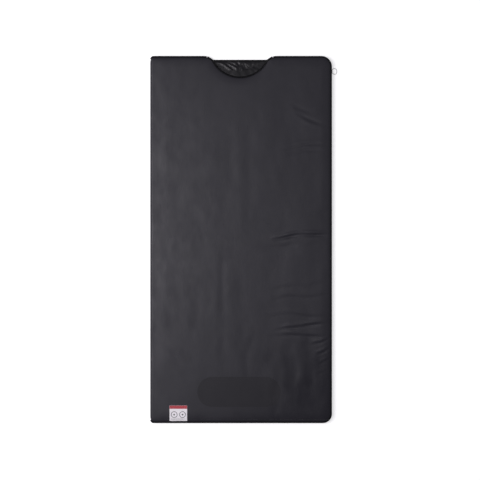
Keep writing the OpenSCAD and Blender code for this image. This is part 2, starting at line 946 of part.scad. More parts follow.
module care_label() {
    corner = [care_label_margin[0] - half_width, care_label_margin[1] - half_length];
    color("#d9d7d2") layer(closed_thickness, closed_thickness + care_label_thickness)
        translate(corner) square(care_label_size);
}

// a plain patch with round ends, of the shell's own material
module blank_patch() {
    patch_radius = blank_patch_size[1] / 2;
    reach = blank_patch_size[0] / 2 - patch_radius;
    color("#2d2c31") layer(closed_thickness, closed_thickness + blank_patch_thickness)
        translate([blank_patch_offset, blank_patch_height - half_length]) {
            square([2 * reach, 2 * patch_radius], center = true);
            for (side = [-1, 1]) translate([side * reach, 0]) circle(patch_radius, $fn = 96);
        }
}

// ---- slider and pull ring ----

lug_reach = 1;
lug_wall = 1.3;
lug_x = half_width + lug_reach;
lug_radius = lug_bore_radius + lug_wall;
web_clearance = 0.2;
web_thickness = tape_gap - 2 * web_clearance;

module zip_slider() {
    tape_inner = outline_x(rim);
    tape_outer = outline_x(tape_inset);
    inner_x = tape_inner - slider_clearance - slider_plate;
    outer_x = outline_x(coil_inset - coil_radius) + slider_clearance;
    flange_height = 1.4;
    bottom = mid_z - slider_height / 2;
    foot_y = slider_y - slider_length / 2;
    color(metal_colour) difference() {
        union() {
            for (x = [inner_x, outer_x])
                translate([x, foot_y, bottom])
                    cube([slider_plate, slider_length, slider_height]);
            // flanges behind the coils, and the web that parts the two tapes
            for (z = [bottom, bottom + slider_height - flange_height])
                translate([tape_outer + slider_clearance, foot_y, z])
                    cube([outer_x - tape_outer, slider_length, flange_height]);
            translate([inner_x + eps, foot_y, mid_z - web_thickness / 2])
                cube([outer_x - inner_x, slider_length, web_thickness]);
            // lug for the pull ring
            translate([outer_x + slider_plate - eps, slider_y - lug_thickness / 2,
                mid_z - lug_radius])
                cube([lug_x - outer_x - slider_plate, lug_thickness, 2 * lug_radius]);
            translate([lug_x, slider_y + lug_thickness / 2, mid_z]) rotate([90, 0, 0])
                cylinder(lug_thickness, r = lug_radius, $fn = 48);
        }
        translate([lug_x, slider_y + lug_thickness, mid_z]) rotate([90, 0, 0])
            cylinder(2 * lug_thickness, r = lug_bore_radius, $fn = 48);
    }
}

// the ring hangs outwards from the lug and stops just above the floor
ring_floor_gap = 0.2;
ring_droop = asin((mid_z - ring_wire_radius - ring_floor_gap) / (2 * ring_radius));

module zip_pull_ring() {
    color(metal_colour) translate([lug_x, slider_y, mid_z]) rotate([0, ring_droop, 0])
        translate([ring_radius, 0, 0])
            rotate_extrude($fn = 96) translate([ring_radius, 0])
                circle(ring_wire_radius, $fn = 32);
}

mat_outer_shell();
mat_neck_shell();
mat_shoulder_shell_left();
mat_shoulder_shell_right();
mat_batting();
mat_head_batting();
mat_heat_reflector();
mat_heater_felt();
mat_heating_wire();
mat_liner();
mat_neck_facing();
mat_shoulder_liner_left();
mat_shoulder_liner_right();
mat_piping();
mat_neck_binding();
mat_thermistor();
mat_thermal_cutout();
mat_leads();
zip_tape_mat();
zip_coil_mat();
zip_top_stop();
zip_box();
fold_spine();
fold_liner();
fold_piping();
crossover_leads();
socket_housing();
socket_sleeve();
socket_insulator();
socket_pins();
socket_screws();
cover_outer_shell();
cover_batting();
cover_head_batting();
cover_heat_reflector();
cover_heater_felt();
cover_heating_wire();
cover_liner();
cover_neck_facing();
cover_piping();
cover_neck_binding();
cover_thermistor();
cover_thermal_cutout();
cover_leads();
zip_tape_cover();
zip_coil_cover();
zip_pin();
care_label();
blank_patch();
zip_slider();
zip_pull_ring();
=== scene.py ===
import json
import math

import bmesh
import bpy
import numpy as np
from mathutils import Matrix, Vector, noise

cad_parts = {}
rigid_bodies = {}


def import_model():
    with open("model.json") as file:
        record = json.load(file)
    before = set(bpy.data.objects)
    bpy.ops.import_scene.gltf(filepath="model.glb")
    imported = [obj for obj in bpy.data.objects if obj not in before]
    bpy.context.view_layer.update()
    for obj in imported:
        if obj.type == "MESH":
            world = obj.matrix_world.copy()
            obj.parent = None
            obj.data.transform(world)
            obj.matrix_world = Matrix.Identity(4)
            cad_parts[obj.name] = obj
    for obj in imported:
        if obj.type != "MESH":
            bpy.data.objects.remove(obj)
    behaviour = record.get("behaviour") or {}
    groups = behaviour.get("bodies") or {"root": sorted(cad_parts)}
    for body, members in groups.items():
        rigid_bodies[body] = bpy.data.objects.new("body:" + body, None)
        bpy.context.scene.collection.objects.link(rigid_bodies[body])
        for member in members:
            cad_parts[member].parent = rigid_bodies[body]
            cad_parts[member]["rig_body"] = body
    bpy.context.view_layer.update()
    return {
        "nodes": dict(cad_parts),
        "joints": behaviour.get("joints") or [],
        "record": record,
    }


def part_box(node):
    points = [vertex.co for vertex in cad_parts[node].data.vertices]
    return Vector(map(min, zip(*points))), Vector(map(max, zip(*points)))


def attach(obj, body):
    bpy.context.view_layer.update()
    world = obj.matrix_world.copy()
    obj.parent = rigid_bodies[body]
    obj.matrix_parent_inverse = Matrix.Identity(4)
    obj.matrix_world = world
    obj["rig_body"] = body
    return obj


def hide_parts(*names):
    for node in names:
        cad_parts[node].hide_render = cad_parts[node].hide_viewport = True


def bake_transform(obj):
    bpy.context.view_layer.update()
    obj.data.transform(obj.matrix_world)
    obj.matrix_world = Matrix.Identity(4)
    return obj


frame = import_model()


# ---- Cut outline of the panels ----
# The mat and the cover are cut from coated cloth to one outline: straight at the fold,
# rounded at the two zipped corners and notched for the neck. The cover has a deeper
# round scoop there. Every seam, cord and tape below follows this outline.

piping_low, piping_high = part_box("cover_piping")
shell_low, shell_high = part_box("cover_outer_shell")
fold_joint = next(j for j in frame["joints"] if j["name"] == "cover_fold")

FOLD_X = fold_joint["pos_m"][0]
MID_Z = fold_joint["pos_m"][2]
THICKNESS = 2 * MID_Z
HALF_WIDTH = piping_high.x
HALF_LENGTH = piping_high.y
RIM = HALF_WIDTH - shell_high.x
PLATE_X = shell_low.x
HEAD_CORNER = 0.052
FOOT_CORNER = 0.045
NECK_X = -0.005
NOTCH_DEPTH = 0.017
NOTCH_TOP = 0.1595
NOTCH_BOTTOM = 0.1325
NOTCH_FLARE = (NOTCH_TOP - NOTCH_BOTTOM) / NOTCH_DEPTH
NOTCH_SLANT = math.hypot(1, NOTCH_FLARE)
SCOOP_RADIUS = 0.147
SCOOP_Y = HALF_LENGTH + 0.046


def corner_drop(x, inset, corner):
    """How far a rounded corner pulls the edge in at x."""
    past = x - (HALF_WIDTH - corner)
    radius = corner - inset
    if past <= 0:
        return 0
    return radius - math.sqrt(max(radius * radius - past * past, 0))


def head_edge(x, inset, scoop):
    """Y of the head edge at x, moved inwards by inset."""
    edge = HALF_LENGTH - inset - corner_drop(x, inset, HEAD_CORNER)
    across = abs(x - NECK_X)
    notch_floor = HALF_LENGTH - NOTCH_DEPTH
    slope = notch_floor + (across - NOTCH_BOTTOM - inset * NOTCH_SLANT) / NOTCH_FLARE
    edge = min(edge, max(notch_floor - inset, slope))
    radius = SCOOP_RADIUS + inset
    if scoop and across < radius:
        edge = min(edge, SCOOP_Y - math.sqrt(radius * radius - across * across))
    return edge


def foot_edge(x, inset):
    """Y of the foot edge at x, moved inwards by inset."""
    return inset - HALF_LENGTH + corner_drop(x, inset, FOOT_CORNER)


def neck_distance(x, y, scoop):
    """Distance of a point of the panel from the neck's cut."""
    across = abs(x - NECK_X)
    notch_floor = HALF_LENGTH - NOTCH_DEPTH
    beside = (across - NOTCH_BOTTOM - NOTCH_FLARE * (y - notch_floor)) / NOTCH_SLANT
    distance = max(notch_floor - y, beside)
    if scoop:
        distance = min(distance, math.hypot(x - NECK_X, y - SCOOP_Y) - SCOOP_RADIUS)
    return distance


def rim_distance(x, y):
    """Distance of a point of the panel from the outline, the fold's side left out."""
    corner = HEAD_CORNER if y > 0 else FOOT_CORNER
    dx = x - (HALF_WIDTH - corner)
    dy = abs(y) - (HALF_LENGTH - corner)
    if dx > 0 and dy > 0:
        return corner - math.hypot(dx, dy)
    return min(HALF_WIDTH - x, HALF_LENGTH - abs(y))


# ---- Coated cloth of the outer shells ----
# A knitted cloth with a soft polyurethane face, embossed with a fine leather grain. It
# is nearly matt. Towards the zipped foot corner its colour is darkened by painted shade,
# and its roughness is lower there.

def material_nodes(name):
    """A new material, its node tree and its shader."""
    material = bpy.data.materials.new(name)
    material.use_nodes = True
    tree = material.node_tree
    return material, tree, tree.nodes["Principled BSDF"]


def add_noise(tree, coordinates, scale, detail=3.0, rough=0.55, kind="FBM"):
    node = tree.nodes.new("ShaderNodeTexNoise")
    node.noise_type = kind
    node.inputs["Scale"].default_value = scale
    node.inputs["Detail"].default_value = detail
    node.inputs["Roughness"].default_value = rough
    tree.links.new(coordinates, node.inputs["Vector"])
    return node.outputs[0]


def add_place(tree, stretch=(1, 1, 1), turn=0.0):
    """Object coordinates, stretched along the axes and turned about Z."""
    source = tree.nodes.new("ShaderNodeTexCoord")
    mapping = tree.nodes.new("ShaderNodeMapping")
    mapping.inputs["Scale"].default_value = stretch
    mapping.inputs["Rotation"].default_value = (0, 0, turn)
    tree.links.new(source.outputs["Object"], mapping.inputs["Vector"])
    return mapping.outputs[0]


def add_range(tree, value, low, high, from_low=0.3, from_high=0.7):
    node = tree.nodes.new("ShaderNodeMapRange")
    node.inputs["From Min"].default_value = from_low
    node.inputs["From Max"].default_value = from_high
    node.inputs["To Min"].default_value = low
    node.inputs["To Max"].default_value = high
    tree.links.new(value, node.inputs["Value"])
    return node.outputs[0]


def add_blend(tree, value, first, second, from_low=0.3, from_high=0.7):
    """A colour between two, chosen by a value."""
    ramp = tree.nodes.new("ShaderNodeValToRGB")
    ramp.color_ramp.elements[0].position = from_low
    ramp.color_ramp.elements[0].color = (*first, 1)
    ramp.color_ramp.elements[1].position = from_high
    ramp.color_ramp.elements[1].color = (*second, 1)
    tree.links.new(value, ramp.inputs["Fac"])
    return ramp.outputs[0]


def add_bumps(tree, shader, layers):
    """Bump nodes chained from the first layer to the last: (height, depth, strength)."""
    normal = None
    for height, depth, strength in layers:
        bump = tree.nodes.new("ShaderNodeBump")
        bump.inputs["Strength"].default_value = strength
        bump.inputs["Distance"].default_value = depth
        tree.links.new(height, bump.inputs["Height"])
        if normal:
            tree.links.new(normal, bump.inputs["Normal"])
        normal = bump.outputs[0]
    tree.links.new(normal, shader.inputs["Normal"])


# painted shade: the shell's colour is darkened in patches towards the zipped foot corner; the
# same mask lowers its roughness there
SHADE_GLOSS_TURN = 0.985  # from the middle towards the zipped foot corner, in radians
SHADE_GLOSS_PATCHES = 0.3
SHADE_GLOSS_FROM, SHADE_GLOSS_TO = 0.55, 0.95
PAINTED_SHADE_TINT = (0.70, 0.69, 0.75, 1)
CORNER_SMOOTHER = -0.12


def add_scaled(tree, value, scale, offset):
    """value times a number, plus another value."""
    node = tree.nodes.new("ShaderNodeMath")
    node.operation = "MULTIPLY_ADD"
    node.inputs[1].default_value = scale
    tree.links.new(value, node.inputs[0])
    tree.links.new(offset, node.inputs[2])
    return node.outputs[0]


def shade_and_gloss_corner(tree, place):
    """Mask of the painted shade and lower roughness: 0 over most of the cloth, rising in
    patches to 1 at the zipped foot corner.
    """
    run = tree.nodes.new("ShaderNodeTexGradient")
    tree.links.new(add_place(tree, (1, 1, 1), SHADE_GLOSS_TURN), run.inputs["Vector"])
    patchy = add_scaled(tree, add_noise(tree, place, 9, 3.0), SHADE_GLOSS_PATCHES,
                        run.outputs["Fac"])
    return add_range(tree, patchy, 0, 1, SHADE_GLOSS_FROM, SHADE_GLOSS_TO)


def coated_cloth(name, dark, light, smooth, rough, crease, crease_depth, corner_shade_and_gloss=False):
    """Polyurethane-faced cloth with an embossed grain and fine creases. With the foot
    corner flag set, painted shade darkens its colour towards the zipped foot corner, and it is
    smoother there."""
    material, tree, shader = material_nodes(name)
    place = add_place(tree)
    streaked = add_place(tree, (1.0, 0.55, 1.0), 0.35)
    pores = tree.nodes.new("ShaderNodeTexVoronoi")
    pores.inputs["Scale"].default_value = 620
    tree.links.new(place, pores.inputs["Vector"])
    creases = add_noise(tree, streaked, crease, 3.0, 0.5, "RIDGED_MULTIFRACTAL")
    grain = add_noise(tree, place, 1500, 2.0)
    cloudy = add_noise(tree, place, 5.5, 4.0, 0.6)
    rubbed = add_noise(tree, streaked, 21, 5.0, 0.62)
    colour = add_blend(tree, cloudy, dark, light)
    roughness = add_range(tree, rubbed, smooth, rough)
    if corner_shade_and_gloss:
        corner = shade_and_gloss_corner(tree, place)
        # painted shade: the colour is multiplied darker where the mask rises
        painted_shade_mix = tree.nodes.new("ShaderNodeMixRGB")
        painted_shade_mix.blend_type = "MULTIPLY"
        painted_shade_mix.inputs["Color2"].default_value = PAINTED_SHADE_TINT
        tree.links.new(corner, painted_shade_mix.inputs["Fac"])
        tree.links.new(colour, painted_shade_mix.inputs["Color1"])
        colour = painted_shade_mix.outputs[0]
        roughness = add_scaled(tree, corner, CORNER_SMOOTHER, roughness)
    tree.links.new(colour, shader.inputs["Base Color"])
    tree.links.new(roughness, shader.inputs["Roughness"])
    shader.inputs["Specular IOR Level"].default_value = 0.38
    shader.inputs["Coat Weight"].default_value = 0.05
    shader.inputs["Coat Roughness"].default_value = 0.32
    add_bumps(tree, shader, (
        (creases, crease_depth, 0.35),
        (pores.outputs[0], 0.00012, 0.35),
        (grain, 0.00006, 0.4),
    ))
    return material


# the shell cloth carries painted shade towards the zipped foot corner
shell_cloth = coated_cloth("shell_coated_cloth", (0.0155, 0.0150, 0.0205),
                           (0.0195, 0.0188, 0.0250), 0.40, 0.56, 14, 0.0016,
                           corner_shade_and_gloss=True)


# ---- Padded shells ----
# Each panel's outer cloth is laid over polyester wadding and sewn down along its edge,
# so it is flat in the middle and rolls down to the piping. The mat's face lies flat on
# the floor. The cover's face keeps the soft creases of being folded away.

SEAM_DROP = 0.0046
ROLL_WIDTH = 0.0065
NECK_DROP = 0.0026
NECK_ROLL = 0.018
INLET_LOW, INLET_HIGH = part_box("socket_housing")


def edge_steps(full, fine, grid):
    """Distances from one edge: close together in the roll, then an even grid."""
    steps = list(fine)
    room = full - 2 * fine[-1]
    count = max(1, round(room / grid))
    steps += [fine[-1] + room * (k + 1) / count for k in range(count)]
    steps += [full - d for d in reversed(fine[:-1])]
    return steps


def columns_of(right, grid, fine, dense=None):
    """X of the grid's columns, from the fold to the zipped side."""
    width = right - PLATE_X
    steps = edge_steps(width, fine, grid)
    columns = [PLATE_X + s for s in steps]
    if dense:
        low, high, close = dense
        columns = [x for x in columns if x < low or x > high]
        count = round((high - low) / close)
        columns += [low + (high - low) * k / count for k in range(count + 1)]
    return sorted(columns)


def panel_grid(columns, low_edge, high_edge, grid, fine, reach=0.3):
    """X and Y of a grid whose first and last rows follow the two edges."""
    low = min(low_edge(x) for x in columns)
    high = max(high_edge(x) for x in columns)
    rows = [low + s for s in edge_steps(high - low, fine, grid)]
    reach = min(reach, (high - low) / 2)
    across = np.array(columns)[:, None] + np.zeros(len(rows))[None, :]
    along = np.zeros_like(across)
    for i, x in enumerate(columns):
        up, down = high_edge(x) - high, low_edge(x) - low
        for j, y in enumerate(rows):
            near_high = max(0, (y - (high - reach)) / reach)
            near_low = max(0, ((low + reach) - y) / reach)
            along[i, j] = y + up * near_high ** 2 + down * near_low ** 2
    return across, along


def on_grid(function, across, along):
    """A function of x and y at each point of a grid."""
    flat = [function(x, y) for x, y in zip(across.ravel(), along.ravel())]
    return np.array(flat).reshape(across.shape)


def grid_faces(nx, ny, first=0):
    return [(first + i * ny + j, first + (i + 1) * ny + j,
             first + (i + 1) * ny + j + 1, first + i * ny + j + 1)
            for i in range(nx - 1) for j in range(ny - 1)]


def grid_border(nx, ny):
    """Indices round the grid, once."""
    return ([i * ny for i in range(nx)]
            + [(nx - 1) * ny + j for j in range(1, ny)]
            + [i * ny + ny - 1 for i in range(nx - 2, -1, -1)]
            + [j for j in range(ny - 2, 0, -1)])


def wall_faces(border, opposite):
    """Faces all round, between a border and the one opposite it."""
    return list(zip(border, border[1:] + border[:1], opposite[1:] + opposite[:1],
                    opposite))


def add_piece(name, points, faces, materials, slots=None, sharp=40):
    """A mesh object with outward normals, smooth but for its sharp edges."""
    mesh = bpy.data.meshes.new(name)
    mesh.from_pydata([tuple(p) for p in points], [], faces)
    for material in materials:
        mesh.materials.append(material)
    if slots is not None:
        mesh.polygons.foreach_set("material_index", slots)
    work = bmesh.new()
    work.from_mesh(mesh)
    bmesh.ops.recalc_face_normals(work, faces=work.faces)
    work.to_mesh(mesh)
    work.free()
    mesh.shade_smooth()
    mesh.set_sharp_from_angle(angle=math.radians(sharp))
    piece = bpy.data.objects.new(name, mesh)
    bpy.context.scene.collection.objects.link(piece)
    return piece


def padded_shell(name, across, along, height, back, material):
    """A closed pad: the cloth's face, a wall along the seam and a flat back."""
    nx, ny = across.shape
    points = list(zip(across.ravel(), along.ravel(), height.ravel()))
    border = grid_border(nx, ny)
    back_border = list(range(len(points), len(points) + len(border)))
    points += [(points[k][0], points[k][1], back) for k in border]
    faces = grid_faces(nx, ny) + wall_faces(border, back_border) + [tuple(back_border)]
    return add_piece(name, points, faces, [material])


def smooth_step(value):
    value = np.clip(value, 0, 1)
    return value * value * (3 - 2 * value)


def crease(across, along, points, width, depth, lift=0.5):
    """A soft valley along a line, with a low ridge on its left, fading at its ends."""
    total = sum(math.dist(a, b) for a, b in zip(points, points[1:]))
    nearest = np.full(across.shape, 1e9)
    side = np.zeros(across.shape)
    travelled = np.zeros(across.shape)
    before = 0.0
    for (ax, ay), (bx, by) in zip(points, points[1:]):
        length = math.dist((ax, ay), (bx, by))
        ux, uy = (bx - ax) / length, (by - ay) / length
        t = np.clip((across - ax) * ux + (along - ay) * uy, 0, length)
        ox, oy = across - ax - t * ux, along - ay - t * uy
        distance = np.hypot(ox, oy)
        closer = distance < nearest
        nearest = np.where(closer, distance, nearest)
        side = np.where(closer, ux * oy - uy * ox, side)
        travelled = np.where(closer, before + t, travelled)
        before += length
    share = travelled / total
    fade = np.sin(np.pi * np.clip(share * 0.94 + 0.03, 0, 1)) ** 0.7
    valley = np.exp(-(nearest / width) ** 2)
    ridge = np.exp(-((side - 1.9 * width) / (1.3 * width)) ** 2)
    ridge = ridge * np.exp(-((nearest - np.abs(side)) / width) ** 2)
    return depth * fade * (lift * ridge - valley)


def seam_roll(x, y, scoop):
    """How far the cloth is drawn down at a point, near the edge and the neck."""
    edge = max(rim_distance(x, y) - RIM, 0)
    neck = max(neck_distance(x, y, scoop), 0)
    return (SEAM_DROP * math.exp(-min(edge, neck) / ROLL_WIDTH)
            + NECK_DROP * math.exp(-neck / NECK_ROLL))


# creases in the cover's face, in metres: points, width, depth, ridge
COVER_CREASES = (
    (((0.160, 0.002), (0.240, 0.008), (0.300, 0.020), (0.360, 0.014), (0.437, 0.016)),
     0.0070, 0.0034, 0.9),
    (((0.420, 0.556), (0.350, 0.590), (0.290, 0.616)), 0.0090, 0.0013, 0.5),
    (((0.352, 0.618), (0.300, 0.640), (0.262, 0.655)), 0.0110, 0.0008, 0.5),
    (((0.205, 0.446), (0.300, 0.452), (0.360, 0.466), (0.430, 0.478)), 0.0080, 0.0014, 0.7),
    (((0.240, 0.420), (0.320, 0.428), (0.410, 0.440)), 0.0090, 0.0012, 0.7),
    (((0.320, 0.130), (0.370, 0.126), (0.430, 0.134)), 0.0080, 0.0009, 0.7),
    (((0.060, -0.036), (0.200, -0.038), (0.420, -0.030)), 0.0120, 0.0010, 0.8),
    (((0.140, -0.236), (0.280, -0.234), (0.425, -0.216)), 0.0110, 0.0008, 0.8),
    (((0.160, -0.290), (0.290, -0.286), (0.425, -0.270)), 0.0100, 0.0010, 0.8),
    (((0.120, -0.380), (0.250, -0.372), (0.400, -0.382)), 0.0100, 0.0012, 0.8),
    (((0.170, -0.446), (0.270, -0.432), (0.330, -0.420), (0.425, -0.412)), 0.0070, 0.0023,
     0.9),
    (((0.150, -0.474), (0.290, -0.470), (0.430, -0.482)), 0.0080, 0.0015, 0.9),
    (((0.350, -0.512), (0.395, -0.506), (0.432, -0.490)), 0.0060, 0.0016, 0.8),
    (((0.372, -0.560), (0.405, -0.552), (0.432, -0.536)), 0.0060, 0.0016, 0.8),
    (((0.384, -0.608), (0.408, -0.598), (0.434, -0.588)), 0.0060, 0.0014, 0.8),
    (((0.380, -0.660), (0.404, -0.652), (0.432, -0.640)), 0.0070, 0.0012, 0.8),
    (((0.046, 0.010), (0.050, 0.180), (0.046, 0.400), (0.036, 0.620)), 0.0260, 0.0006, 1.0),
    (((-0.070, 0.060), (-0.060, 0.300), (-0.075, 0.560)), 0.0320, 0.0004, 0.8),
    (((-0.086, -0.680), (-0.088, -0.360), (-0.092, -0.060)), 0.0180, 0.0007, 0.6),
    (((-0.235, -0.560), (-0.215, -0.330), (-0.230, -0.110)), 0.0260, 0.0004, 0.8),
    (((0.000, -0.620), (0.010, -0.380), (-0.010, -0.140)), 0.0240, 0.0006, 0.8),
    (((0.028, -0.680), (0.030, -0.560), (0.060, -0.470)), 0.0200, 0.0012, 0.4),
    (((0.165, -0.840), (0.175, -0.620), (0.160, -0.500)), 0.0240, 0.0008, 0.3),
    (((0.240, -0.830), (0.262, -0.660), (0.250, -0.520)), 0.0220, 0.0008, 0.3),
    (((0.325, -0.840), (0.345, -0.690), (0.330, -0.540)), 0.0220, 0.0009, 0.3),
    (((-0.380, -0.520), (-0.330, -0.560), (-0.290, -0.610)), 0.0160, 0.0008, 0.8),
)


def cover_face(x, y):
    """Height of the cover's face without its creases."""
    swell = (noise.noise(Vector((x * 5.2, y * 2.1, 3.7))) * 0.0020
             + noise.noise(Vector((x * 11.0 + 4.0, y * 5.0, 8.1))) * 0.0011
             + noise.noise(Vector((x * 26.0, y * 17.0, 1.3))) * 0.00035)
    busy = 0.20 + 0.68 * float(smooth_step((x + 0.05) / 0.35))
    foot_side = float(smooth_step((x - 0.02) / 0.15) * smooth_step((-0.42 - y) / 0.12))
    patchy = noise.noise(Vector((x * 15.0 + 2.0, y * 9.0, 7.7))) * 0.0013 * foot_side
    crown = 0.0014 + swell * busy + patchy
    from_fold = float(smooth_step((x - PLATE_X) / 0.07))
    edge = min(rim_distance(x, y) - RIM, neck_distance(x, y, True))
    calm = from_fold * float(smooth_step(edge / 0.05))
    return THICKNESS - seam_roll(x, y, True) + crown * calm


def cover_top(across, along):
    """Height of the cover's face with its creases, on a grid."""
    height = on_grid(cover_face, across, along)
    wander = [on_grid(lambda x, y: noise.noise(Vector((x * 11, y * 7, seed))) * 0.011,
                      across, along) for seed in (5.5, 9.5)]
    strength = 0.85 + on_grid(lambda x, y: noise.noise(Vector((x * 14, y * 9, 2.5))),
                              across, along)
    creases = np.zeros(across.shape)
    for points, width, depth, lift in COVER_CREASES:
        rise = abs(points[-1][1] - points[0][1])
        bend = 0.3 if rise > abs(points[-1][0] - points[0][0]) else 1
        creases += crease(across + bend * wander[0], along + wander[1], points, width,
                          depth, lift) * np.clip(strength, 0.25, 1.3)
    fade = smooth_step((across - PLATE_X) / 0.05) * smooth_step(
        (HALF_WIDTH - RIM - across) / 0.006)
    return height + creases * fade


def mat_face(x, y):
    """Height of the mat's underside: on the floor, but for its rolled edge."""
    pucker = max(0, noise.noise(Vector((x * 9.0, y * 4.0, 6.2)))) * 0.0009
    return seam_roll(x, y, False) + pucker * float(smooth_step((x - PLATE_X) / 0.07))


def mat_foot_edge(x):
    """The mat's foot edge, cut back round the moulded inlet."""
    if INLET_LOW.x - 0.0004 < x < INLET_HIGH.x + 0.0004:
        return INLET_HIGH.y + 0.0004
    return foot_edge(x, RIM)


SHELL_FINE = (0, 0.0012, 0.0026, 0.0045, 0.007, 0.0105, 0.015, 0.021, 0.028)
COVER_GRID = 0.0048
MAT_GRID = 0.009
NECK_SEAM = 0.0015

cover_columns = columns_of(HALF_WIDTH - RIM, COVER_GRID, SHELL_FINE)
cover_x, cover_y = panel_grid(cover_columns, lambda x: foot_edge(x, RIM),
                              lambda x: min(head_edge(x, RIM, False),
                                            head_edge(x, NECK_SEAM, True)),
                              COVER_GRID, SHELL_FINE)
cover_pad = padded_shell("cover_padded_shell", cover_x, cover_y,
                         cover_top(cover_x, cover_y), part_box("cover_batting")[0].z,
                         shell_cloth)
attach(cover_pad, "cover")
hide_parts("cover_outer_shell", "cover_batting", "cover_head_batting")

mat_columns = sorted(columns_of(HALF_WIDTH - RIM, MAT_GRID, SHELL_FINE)
                     + [INLET_LOW.x - 0.0005, INLET_LOW.x - 0.0003,
                        INLET_HIGH.x + 0.0003, INLET_HIGH.x + 0.0005])
mat_x, mat_y = panel_grid(mat_columns, mat_foot_edge,
                          lambda x: min(head_edge(x, RIM, False),
                                        head_edge(x, NECK_SEAM, False)),
                          MAT_GRID, SHELL_FINE)
mat_pad = padded_shell("mat_padded_shell", mat_x, mat_y, on_grid(mat_face, mat_x, mat_y),
                       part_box("mat_batting")[1].z, shell_cloth)
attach(mat_pad, "mat")
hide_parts("mat_outer_shell", "mat_neck_shell", "mat_shoulder_shell_left",
            "mat_shoulder_shell_right", "mat_batting", "mat_head_batting")


# ---- Liners ----
# The inside faces are a glossier black coated cloth, loose enough to wrinkle all over.
# Each is turned down at its edge and sewn to the hem, and a separate facing is sewn on
# at the neck, where the mat's facing shows through the cover's scoop.

liner_cloth = coated_cloth("liner_coated_cloth", (0.0022, 0.0021, 0.0031),
                           (0.0042, 0.0040, 0.0056), 0.28, 0.38, 22, 0.0006)

LINER_INSET = HALF_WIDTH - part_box("mat_liner")[1].x
LINER_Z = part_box("mat_liner")[1].z - 0.0001
LINER_HEM_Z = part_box("mat_liner")[0].z + 0.0003
LINER_THICKNESS = 0.0008
FACING_SEAM_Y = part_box("mat_neck_facing")[0].y
LINER_FINE = (0, 0.0003, 0.0014, 0.004)
LINER_GRID = 0.0062
NECK_GRID = 0.0026
FACING_GRID = 0.0050
# half the width at the neck where the facing runs on under the binding, and its inset
NECK_HALF = 0.17
NECK_INSET = 0.003


def crumple(x, y, size, seed):
    """Sharp-backed wrinkles between 0 and 1, on a bent and slanted grain."""
    bend = noise.noise(Vector((x / size * 0.4, y / size * 0.4, seed + 5.0)))
    bend2 = noise.noise(Vector((x / size * 0.4, y / size * 0.4, seed + 9.0)))
    u = (x * 0.92 + y * 0.38) / size + bend * 0.9
    v = (y * 0.92 - x * 0.38) / size * 0.55 + bend2 * 0.9
    fold = 1 - min(1, abs(noise.noise(Vector((u, v, seed)))) * 2.6)
    small = 1 - min(1, abs(noise.noise(Vector((u * 2.3, v * 2.3, seed + 2.0)))) * 2.6)
    return 0.68 * fold * fold + 0.32 * small * small


# the longest folds of the facing that the scoop leaves bare: points, width, height
NECK_FOLDS = (
    (((-0.112, 0.874), (-0.080, 0.858), (-0.052, 0.834), (-0.020, 0.812)), 0.0060, 0.0019),
    (((-0.084, 0.872), (-0.046, 0.856), (-0.020, 0.842), (-0.006, 0.853), (-0.004, 0.870)),
     0.0050, 0.0017),
    (((-0.050, 0.876), (-0.030, 0.866), (-0.012, 0.850)), 0.0044, 0.0011),
    (((0.020, 0.878), (0.052, 0.858), (0.095, 0.868)), 0.0070, 0.0009),
    (((0.000, 0.836), (0.040, 0.826), (0.070, 0.846)), 0.0070, 0.0008),
)


def liner_height(x, y, seed, open_neck):
    """Height of the mat's liner, and of the cover's before it is turned over."""
    height = LINER_Z + 0.00085 * crumple(x, y, 0.060, seed)
    if open_neck:
        shown = -(math.hypot(x - NECK_X, y - SCOOP_Y) - SCOOP_RADIUS)
        shown = min(shown, HALF_LENGTH - NOTCH_DEPTH - y) / 0.03
        loose = float(smooth_step(shown))
        height += loose * (0.0016 * crumple(x, y, 0.055, seed + 20.0) - 0.0012)
    return height


# the facing lies flat under the neck's binding
SEWN_REACH = 0.0085
SEWN_Z = LINER_Z - 0.0003
SEWN_RISE = 0.006


def liner_sheet(name, columns, low_edge, high_edge, grid, seed, scoop, open_neck, seam):
    """A thin sheet, turned down along its sewn edges. seam is the edge left flat."""
    across, along = panel_grid(columns, low_edge, high_edge, grid, LINER_FINE)
    height = on_grid(lambda x, y: liner_height(x, y, seed, open_neck), across, along)
    if open_neck:
        for fold, width, tall in NECK_FOLDS:
            height -= crease(across, along, fold, width, tall, 0.35)
        free = on_grid(lambda x, y: float(smooth_step(
            (neck_distance(x, y, False) - SEWN_REACH) / SEWN_RISE)), across, along)
        height = SEWN_Z + (height - SEWN_Z) * free
    nx, ny = across.shape
    over_inlet = ((across[:, 0] > INLET_LOW.x - 0.002)
                  & (across[:, 0] < INLET_HIGH.x + 0.002))
    turned = np.full(nx, LINER_HEM_Z)
    if not scoop:
        turned = np.where(over_inlet, INLET_HIGH.z + LINER_THICKNESS + 0.0002, turned)
    if seam != "low":
        height[:, 0] = turned
        height[:, 1] = height[:, 1] * 0.9 + turned * 0.1
    if seam != "high":
        height[:, -1] = LINER_HEM_Z
        height[:, -2] = height[:, -2] * 0.9 + LINER_HEM_Z * 0.1
    height[-1, :] = LINER_HEM_Z
    height[-2, :] = height[-2, :] * 0.9 + LINER_HEM_Z * 0.1
    if scoop:
        height = THICKNESS - height
    points = np.stack([across.ravel(), along.ravel(), height.ravel()], axis=1)
    inward = -1 if not scoop else 1
    du = np.gradient(points.reshape(nx, ny, 3), axis=0)
    dv = np.gradient(points.reshape(nx, ny, 3), axis=1)
    normal = np.cross(du, dv).reshape(-1, 3)
    normal /= np.linalg.norm(normal, axis=1)[:, None] + 1e-12
    inner = points + inward * LINER_THICKNESS * normal
    count = nx * ny
    faces = grid_faces(nx, ny)
    faces += [tuple(reversed(f)) for f in grid_faces(nx, ny, count)]
    border = grid_border(nx, ny)
    faces += wall_faces(border, [count + k for k in border])
    return add_piece(name, list(points) + list(inner), faces, [liner_cloth], sharp=60)


